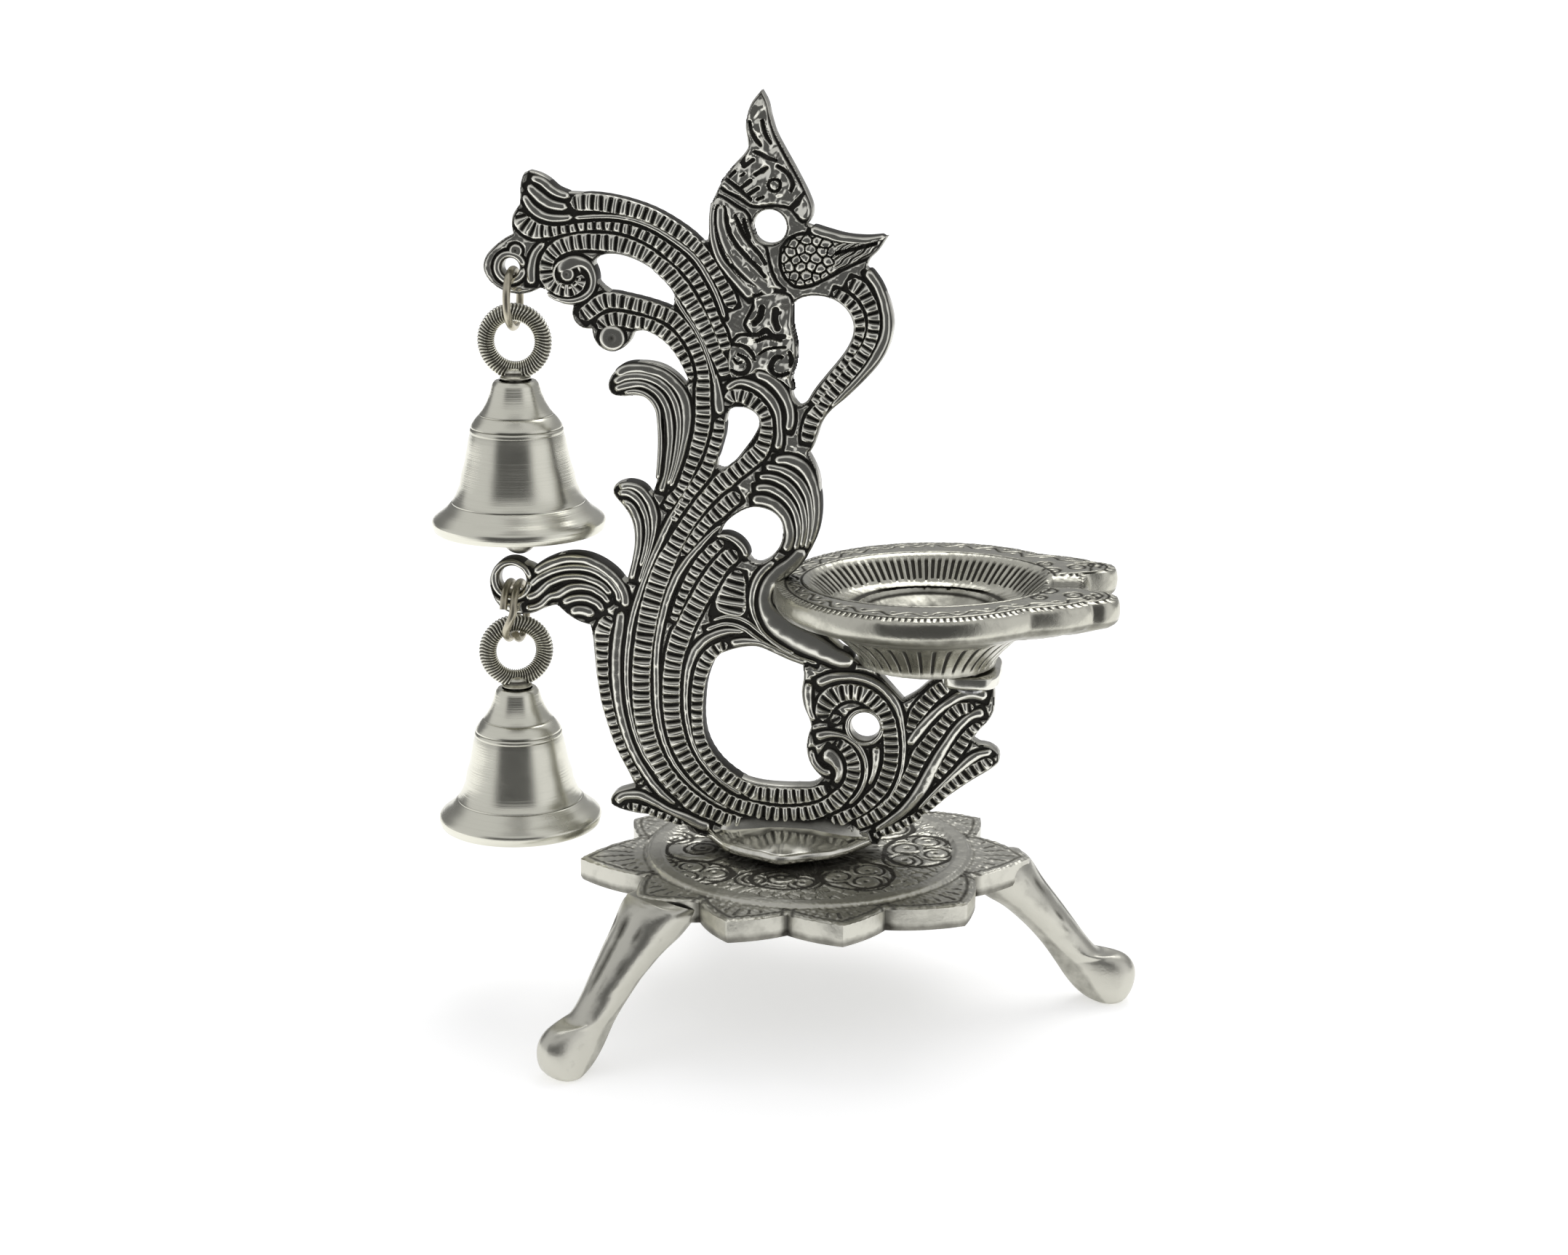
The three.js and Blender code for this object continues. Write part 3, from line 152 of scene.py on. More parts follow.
def catmull(points, step):
    """A smooth line through points, sampled every step millimetres. Extra columns are smoothed with it."""
    p = np.asarray(points, float)
    p = np.vstack([2 * p[0] - p[1], p, 2 * p[-1] - p[-2]])
    line = []
    for k in range(1, len(p) - 2):
        a, b, c, d = p[k - 1], p[k], p[k + 1], p[k + 2]
        t01 = max(np.linalg.norm((b - a)[:2]), 1e-6) ** 0.5
        t12 = max(np.linalg.norm((c - b)[:2]), 1e-6) ** 0.5
        t23 = max(np.linalg.norm((d - c)[:2]), 1e-6) ** 0.5
        m1 = (c - b) + t12 * ((b - a) / t01 - (c - a) / (t01 + t12))
        m2 = (c - b) + t12 * ((d - c) / t23 - (d - b) / (t12 + t23))
        t = np.linspace(0, 1, 24, endpoint=False)[:, None]
        line.append((2 * t**3 - 3 * t**2 + 1) * b + (t**3 - 2 * t**2 + t) * m1
                    + (-2 * t**3 + 3 * t**2) * c + (t**3 - t**2) * m2)
    line = np.vstack(line + [p[-2:-1]])
    length = np.concatenate([[0], np.cumsum(np.linalg.norm(np.diff(line[:, :2], axis=0), axis=1))])
    count = max(4, int(round(length[-1] / step)) + 1)
    at = np.linspace(0, length[-1], count)
    return np.stack([np.interp(at, length, line[:, k]) for k in range(line.shape[1])], axis=1), at


def smooth_loop(points):
    """A smooth closed loop through points."""
    return catmull(points + points[:1], 0.8)[0][:-1]


def from_segment(x, y, a, b):
    """How far along the segment from a to b each point lies, from 0 to 1, and its distance from the segment."""
    run = (b - a)[:2]
    share = np.clip(((x - a[0]) * run[0] + (y - a[1]) * run[1]) / max(run @ run, 1e-9), 0, 1)
    return share, np.hypot(x - a[0] - share * run[0], y - a[1] - share * run[1])


def grooves(x, y, lines):
    """How deep each point lies in a groove, from 0 to 1. A line is a list of (x, y, half width)."""
    softness = 0.45
    depth = np.zeros(x.shape)
    for points in lines:
        line, _ = catmull(points, 0.3) if len(points) > 2 else (np.asarray(points, float), None)
        margin = 1.5 * line[:, 2].max() + 0.3
        near = ((x > line[:, 0].min() - margin) & (x < line[:, 0].max() + margin)
                & (y > line[:, 1].min() - margin) & (y < line[:, 1].max() + margin))
        if not near.any():
            continue
        px, py = x[near], y[near]
        best = np.zeros(px.shape)
        for a, b in zip(line[:-1], line[1:]):
            share, distance = from_segment(px, py, a, b)
            width = a[2] + share * (b[2] - a[2])
            best = np.maximum(best, 1 - ease(distance / width, 1 - softness, 1 + softness))
        depth[near] = np.maximum(depth[near], best)
    return depth


def inside_loop(x, y, loop):
    """Even-odd test of points against a closed loop."""
    inside = np.zeros(x.shape, bool)
    for a, b in zip(loop, np.roll(loop, -1, axis=0)):
        crosses = (a[1] > y) != (b[1] > y)
        rise = b[1] - a[1] if abs(b[1] - a[1]) > 1e-9 else 1e-9
        inside ^= crosses & (x < (b[0] - a[0]) * (y - a[1]) / rise + a[0])
    return inside


def edge_distance(x, y, loop):
    """Distance from each point to a closed loop."""
    best = np.full(x.shape, 1e9)
    for a, b in zip(loop, np.roll(loop, -1, axis=0)):
        best = np.minimum(best, from_segment(x, y, a, b)[1])
    return best


def both_faces(vertices, faces, patina):
    """A form on the front of the casting, and its mirror image on the back."""
    back = vertices * [1, -1, 1]
    return [(vertices, faces, patina), (back, [list(reversed(list(f))) for f in faces], patina)]


def relief_sheet(x, z, height, keep, patina):
    """A grid of points at a height above the casting's middle plane, on both faces, where keep is true."""
    quad = keep[:-1, :-1] & keep[1:, :-1] & keep[1:, 1:] & keep[:-1, 1:]
    faces = grid_faces(*x.shape, flip=True).reshape(x.shape[0] - 1, x.shape[1] - 1, 4)[quad]
    used = np.unique(faces)
    renumber = np.zeros(x.size, int)
    renumber[used] = np.arange(len(used))
    vertices = np.stack([x, -height, z], axis=-1).reshape(-1, 3)[used]
    return both_faces(vertices, renumber[faces], patina.reshape(-1)[used])


def rounded_rise(distance, shoulder):
    """A quarter-round shoulder: 0 at the edge and 1 from shoulder millimetres inwards."""
    return np.sqrt(np.clip(1 - (1 - np.clip(distance / shoulder, 0, 1)) ** 2, 0, 1))


def relief_patch(outline_points, rise, lines, shape, depth=0.6, step=0.2):
    """A raised smooth field on both faces of the casting, with grooves cut into it."""
    loop = smooth_loop(outline_points)
    low, high = loop.min(axis=0) - step, loop.max(axis=0) + step
    x, z = np.meshgrid(np.arange(low[0], high[0] + step, step), np.arange(low[1], high[1] + step, step))
    edge = np.where(inside_loop(x, z, loop), 1, -1) * edge_distance(x, z, loop)
    cut = grooves(x, z, lines)
    extra, shade = shape(x, z)
    height = WEB_HALF - SUNK + (rise + SUNK) * rounded_rise(edge, 0.8) - depth * cut + extra * (edge > 0.2)
    height = height + 0.12 * rough_noise(x, z, 0.0, 3.2, 31)
    height = np.clip(height, 0.9, CAST_TOP)
    height = np.where(edge < -0.15, 0.8, height)
    patina = np.clip(1.15 * cut + shade + 0.8 * (1 - ease(edge, 0.0, 0.45)), 0, 1)
    return relief_sheet(x, z, height, edge > -0.35, patina)


# Materials
def node_material(name):
    material = bpy.data.materials.new(name)
    material.use_nodes = True
    tree = material.node_tree
    shader = tree.nodes["Principled BSDF"]
    return material, tree, shader


def add_node(tree, kind, **settings):
    node = tree.nodes.new(kind)
    for key, value in settings.items():
        setattr(node, key, value)
    return node


def noise_node(tree, scale, detail=3.0, roughness=0.55):
    """Noise with scale waves to the metre in the piece's own coordinates."""
    coordinates = add_node(tree, "ShaderNodeTexCoord")
    noise = add_node(tree, "ShaderNodeTexNoise")
    noise.inputs["Scale"].default_value = scale
    noise.inputs["Detail"].default_value = detail
    noise.inputs["Roughness"].default_value = roughness
    tree.links.new(coordinates.outputs["Object"], noise.inputs["Vector"])
    return noise


def ramp_node(tree, source, stops):
    ramp = add_node(tree, "ShaderNodeValToRGB")
    elements = ramp.color_ramp.elements
    while len(elements) < len(stops):
        elements.new(0.5)
    for element, (position, colour) in zip(elements, stops):
        element.position = position
        element.color = (*colour, 1.0)
    tree.links.new(source, ramp.inputs["Fac"])
    return ramp


def math_node(tree, operation, first, second):
    node = add_node(tree, "ShaderNodeMath", operation=operation)
    for socket, value in zip(node.inputs, (first, second)):
        if isinstance(value, (int, float)):
            socket.default_value = value
        else:
            tree.links.new(value, socket)
    return node.outputs["Value"]


def patinated_metal(name, bright, dark, gloss, grain, strength, wear, speckle, pitting):
    """Cast metal that is bright where it is worn and nearly black where the patina attribute is high."""
    material, tree, shader = node_material(name)
    attribute = add_node(tree, "ShaderNodeAttribute", attribute_name="patina")
    blotches = noise_node(tree, 260, 2.0, 0.5)
    fine = noise_node(tree, grain, 5.0, 0.65)
    uneven = math_node(tree, "MULTIPLY", math_node(tree, "SUBTRACT", blotches.outputs["Fac"], 0.5), wear)
    gritty = math_node(tree, "MULTIPLY", math_node(tree, "SUBTRACT", fine.outputs["Fac"], 0.5), speckle)
    amount = math_node(tree, "ADD", attribute.outputs["Fac"], math_node(tree, "ADD", uneven, gritty))
    mid = tuple(0.42 * b + 0.58 * d for b, d in zip(bright, dark))
    colour = ramp_node(tree, amount, [(0.12, bright), (0.45, mid), (0.8, dark)])
    tree.links.new(colour.outputs["Color"], shader.inputs["Base Color"])
    rough = ramp_node(tree, amount, [(0.1, (gloss,) * 3), (0.75, (0.62,) * 3)])
    tree.links.new(rough.outputs["Color"], shader.inputs["Roughness"])
    metal = ramp_node(tree, amount, [(0.45, (1.0,) * 3), (0.95, (0.45,) * 3)])
    tree.links.new(metal.outputs["Color"], shader.inputs["Metallic"])
    relief = add_node(tree, "ShaderNodeBump")
    relief.inputs["Strength"].default_value = strength
    relief.inputs["Distance"].default_value = 0.00035
    dents = noise_node(tree, 250, 0.0)
    mixed = math_node(tree, "ADD", math_node(tree, "MULTIPLY", fine.outputs["Fac"], pitting), dents.outputs["Fac"])
    tree.links.new(mixed, relief.inputs["Height"])
    tree.links.new(relief.outputs["Normal"], shader.inputs["Normal"])
    return material


def turned_metal(name, colour, gloss, line_scale, strength):
    """Lathe-turned metal: fine rings round Z, with dark lines where the patina attribute is high."""
    material, tree, shader = node_material(name)
    coordinates = add_node(tree, "ShaderNodeTexCoord")
    stretch = add_node(tree, "ShaderNodeMapping")
    stretch.inputs["Scale"].default_value = (30, 30, line_scale)
    tree.links.new(coordinates.outputs["Object"], stretch.inputs["Vector"])
    lines = add_node(tree, "ShaderNodeTexNoise")
    lines.inputs["Scale"].default_value = 1.0
    lines.inputs["Detail"].default_value = 4.0
    tree.links.new(stretch.outputs["Vector"], lines.inputs["Vector"])
    smudges = noise_node(tree, 120, 3.0)
    attribute = add_node(tree, "ShaderNodeAttribute", attribute_name="patina")
    amount = math_node(tree, "ADD", attribute.outputs["Fac"],
                       math_node(tree, "MULTIPLY", math_node(tree, "SUBTRACT", lines.outputs["Fac"], 0.5), 0.5))
    darker = tuple(0.35 * c for c in colour)
    tone = ramp_node(tree, amount, [(0.0, colour), (0.5, tuple(0.8 * c for c in colour)), (1.0, darker)])
    tree.links.new(tone.outputs["Color"], shader.inputs["Base Color"])
    shader.inputs["Metallic"].default_value = 1.0
    rough = ramp_node(tree, smudges.outputs["Fac"], [(0.3, (gloss,) * 3), (0.75, (gloss + 0.1,) * 3)])
    tree.links.new(rough.outputs["Color"], shader.inputs["Roughness"])
    relief = add_node(tree, "ShaderNodeBump")
    relief.inputs["Strength"].default_value = strength
    relief.inputs["Distance"].default_value = 0.0001
    tree.links.new(lines.outputs["Fac"], relief.inputs["Height"])
    tree.links.new(relief.outputs["Normal"], shader.inputs["Normal"])
    return material


oxidised = patinated_metal("oxidised_silver", bright=(0.82, 0.81, 0.73), dark=(0.03, 0.028, 0.023), gloss=0.19,
                           grain=1500, strength=0.8, wear=0.5, speckle=0.1, pitting=0.03)
stand_metal = patinated_metal("stand_silver", bright=(0.62, 0.61, 0.54), dark=(0.06, 0.056, 0.044), gloss=0.31,
                              grain=1100, strength=0.7, wear=0.45, speckle=0.2, pitting=0.22)
bowl_metal = patinated_metal("bowl_silver", bright=(0.6, 0.59, 0.51), dark=(0.045, 0.042, 0.032), gloss=0.23,
                             grain=1200, strength=0.75, wear=0.4, speckle=0.2, pitting=0.12)
fitting_metal = patinated_metal("knurled_fitting", bright=(0.86, 0.85, 0.75), dark=(0.12, 0.11, 0.09), gloss=0.27,
                                grain=1800, strength=0.25, wear=0.4, speckle=0.3, pitting=0.3)
wire_metal = patinated_metal("plated_wire", bright=(0.62, 0.58, 0.46), dark=(0.2, 0.18, 0.13), gloss=0.25,
                             grain=900, strength=0.12, wear=0.4, speckle=0.2, pitting=0.3)
bell_metal = turned_metal("turned_bell", (0.78, 0.77, 0.67), gloss=0.2, line_scale=5200, strength=0.3)
steel = turned_metal("plain_steel", (0.56, 0.56, 0.55), gloss=0.3, line_scale=3000, strength=0.2)


# Peacock casting: a dark ground cut to the outline, with raised fronds on both faces
WEB_HALF = 1.75  # the ground's surface, above the casting's middle plane
SUNK = 0.25  # how far raised forms start below that surface
FROND_TOP = 2.5
CAST_TOP = 2.75
LADDER_PITCH = 1.72
NOTCH_DEPTH = 0.75

OUTLINE = [
    [(-4, 180), (-2.9, 178), (-2.3, 175.5), (-1.4, 172.5), (0, 169.8), (1.9, 166.5), (3.6, 163.4), (4.9, 160.8),
     (5.7, 158.3), (5.3, 156.3), (4.5, 155.4)],
    [(7, 154.6), (10, 153.6), (13.5, 153.1), (17, 153), (19.8, 153.4)],
    [(18.2, 150.9), (16.3, 148.9), (15.8, 147.6)],
    [(17.6, 145.7), (19.4, 143.1), (20.5, 140.4), (21, 137.3), (20.8, 134.8), (20, 132.2), (18.4, 129.4),
     (15.7, 126.3), (12.2, 122.8), (9.2, 120.2), (7.5, 117.8), (6.6, 115.2), (5.8, 113), (5, 111.8)],
    [(6.2, 109.6), (7.1, 106.8), (7.2, 103.5), (7, 100), (6.5, 96.5), (5.6, 93.2), (3.6, 90.5), (1.4, 88.6),
     (-0.5, 87.2), (-1.5, 85.8), (-1.7, 84), (-1.6, 81.4)],
    [(2.6, 81)],
    [(7.6, 77), (11.6, 73.5), (15, 70.6)],
    [(18.5, 70.6)],
    [(18.9, 68.7), (21, 66.3), (23.7, 63.3)],
    [(26.2, 64.9), (28.6, 67.1), (31.6, 69)],
    [(40.6, 69)],
    [(41.3, 66.8), (41.5, 64.3), (41.4, 62), (40.3, 59.8), (38.4, 57.6), (37.4, 56)],
    [(38.6, 55.1), (40.6, 54.8), (42.5, 53.4), (42.6, 51.6), (41, 50), (38, 48), (35, 45.8), (32, 43.4),
     (29.8, 41.3), (28.3, 40.3)],
    [(25, 38), (22.3, 36.7), (20, 35.2), (19, 33.4)],
    [(-16.6, 33.4)],
    [(-19, 35.3), (-22, 36.2), (-26, 37.3), (-30, 37.7), (-33, 38.4), (-34.7, 39.3), (-34.8, 40.6), (-33.6, 42),
     (-31.5, 42.8), (-29.8, 43.3)],
    [(-31, 46), (-32.7, 49.3), (-34.3, 53), (-35.5, 57), (-36.5, 61), (-37.2, 65.5), (-37.6, 70), (-37.9, 74),
     (-38.3, 76.3)],
    [(-40.2, 76.8), (-42.3, 77.9), (-44, 79.3), (-45, 80.2)],
    [(-47.2, 79.5), (-49.5, 78.4), (-51.5, 78), (-54.3, 78.1), (-56.8, 79.7), (-58.1, 82.2), (-58.4, 85),
     (-57.2, 87.4), (-54.8, 88.4), (-52, 88.6), (-49.8, 88), (-48.6, 87.2)],
    [(-46.5, 89), (-44.5, 90.2), (-42.3, 90.6), (-39.5, 90.2), (-36.5, 89), (-33.8, 87.2), (-30.9, 85.3)],
    [(-30.3, 87.5), (-29.6, 90.5), (-29.2, 93.5), (-29.4, 96.5), (-30.4, 99.2), (-32, 101.3), (-33.2, 102.8),
     (-33, 104.4), (-31.3, 105.3), (-29.4, 105.2), (-27.5, 104.3), (-25.6, 102.9)],
    [(-24.8, 105), (-24.1, 108), (-23.6, 111), (-23.3, 114.5), (-23.4, 118), (-24.5, 120.6), (-26.3, 121.8),
     (-28.5, 122.2), (-31.3, 122), (-33.2, 122.4), (-33.9, 123.9), (-33.3, 125.9), (-31.5, 127.6), (-28.8, 128.6),
     (-25.8, 128.7), (-22.8, 127.9), (-20.3, 126.2), (-18.7, 124.5)],
    [(-18.3, 126.5), (-19, 128.5), (-20.3, 130.6), (-22.2, 132.5), (-24.5, 134), (-27, 134.8), (-28.8, 134.4)],
    [(-29.4, 132.9), (-30.8, 131.4), (-33, 130.6), (-35.2, 131.3), (-36.5, 133), (-36.9, 134.9)],
    [(-38.6, 135), (-40.1, 136.1), (-40.7, 137.8), (-40.4, 139.3)],
    [(-42.5, 139.6), (-44.6, 141), (-45.9, 142.4), (-46.8, 142.5)],
    [(-48.6, 141.7), (-50.6, 141.3), (-53.2, 141.6), (-55.4, 142.6), (-57.1, 144.2), (-57.9, 146.2),
     (-57.3, 148.4), (-55.6, 150.3), (-53.5, 151.9), (-51.8, 152.8)],
    [(-52.1, 154.4), (-51.8, 156.3), (-50.4, 158.4)],
    [(-50.3, 160.1), (-50.1, 162.4), (-49.4, 164.2), (-48.5, 164.7)],
    [(-46.6, 164.2), (-44.8, 163.2), (-43.7, 161.8), (-42, 160.9), (-39, 160.7), (-35, 160.4), (-31, 159.5),
     (-27, 158.4), (-23, 157), (-20, 155.3), (-17.5, 153.5), (-15.6, 151.9), (-14.3, 152)],
    [(-14, 154), (-13.8, 156.5), (-13.2, 159.3), (-12.2, 161.9), (-10.7, 164.4), (-9, 166.5), (-7.2, 168.4),
     (-6.5, 169.5)],
    [(-6.7, 171.3), (-7, 173.2), (-6.7, 175.4), (-5.9, 177.6), (-4, 180)],
]
WINDOWS = [
    [[(-36.3, 147.8), (-34.9, 148.9), (-32, 149.2), (-29, 148.5), (-26, 147.1), (-23.5, 145.2), (-21.7, 143.2),
      (-20.7, 141.2), (-21.2, 139.2)],
     [(-23.5, 139.5), (-26.5, 140.5), (-30, 141.4), (-33.2, 142.1)],
     [(-35.2, 143.6), (-36, 145.8), (-36.3, 147.8)]],
    [[(3.2, 120.9), (2, 122.3), (1.6, 125), (2, 128), (2.7, 131), (2.3, 134), (1.7, 137), (1.9, 140.3),
      (3.6, 141.6), (6.5, 142), (9.5, 141.4), (11.9, 139.7), (13.3, 137.2), (13.3, 134.8), (12.3, 132.4),
      (10.5, 129.8), (8.2, 127), (6, 124.2), (4.3, 121.5), (3.2, 120.9)]],
    [[(-12.9, 108.6), (-12.5, 111), (-11.9, 114), (-11.2, 117), (-10.3, 119.9), (-8.5, 120.5), (-6.4, 120),
      (-4.9, 118.8), (-4.6, 117.2), (-5.6, 115), (-7.5, 112.3), (-9.7, 109.6), (-11.8, 108.2), (-12.9, 108.6)]],
    [[(-12.3, 95.8), (-11.2, 97.7), (-9, 99.6), (-6.3, 100.9), (-4.2, 100.9), (-2, 100.1), (-0.5, 98.6),
      (0, 96.6), (-0.3, 94.3), (-1.4, 92.2), (-3, 90.6), (-4.9, 89.8), (-6.2, 90.3), (-6.9, 91.8), (-7.8, 93.3),
      (-9.3, 94.3), (-11.6, 94.9), (-12.3, 95.8)]],
    [[(-10.5, 72.2), (-8, 72.9), (-5, 73.1), (-2, 72), (1, 70.7), (3.9, 69.7)],
     [(4.1, 67.5), (3.7, 64.5), (4.1, 61.5), (5.2, 58.8), (5.6, 57.2)],
     [(4.9, 55), (4.7, 52.5), (5.3, 50), (6.6, 48), (8, 46.7)],
     [(6, 45.2), (3, 44.9), (-1, 44.8), (-5, 45.1), (-8.8, 46.2), (-11.5, 47.9), (-14, 50.4), (-15.5, 53.5),
      (-16, 57.5), (-15.9, 61.5), (-15.4, 65.3), (-14.5, 68.7), (-13, 71), (-10.5, 72.2)]],
]
UPPER_HOOK = (HANG_X["upper"], 146.4)
LOWER_HOOK = (HANG_X["lower"], 85.0)
SCROLL_EYE = (16.2, 57.7)
ROUND_HOLES = [((-2.5, 154.8), 3.2), (SCROLL_EYE, 2.9), (UPPER_HOOK, 1.75), (LOWER_HOOK, 2.75)]

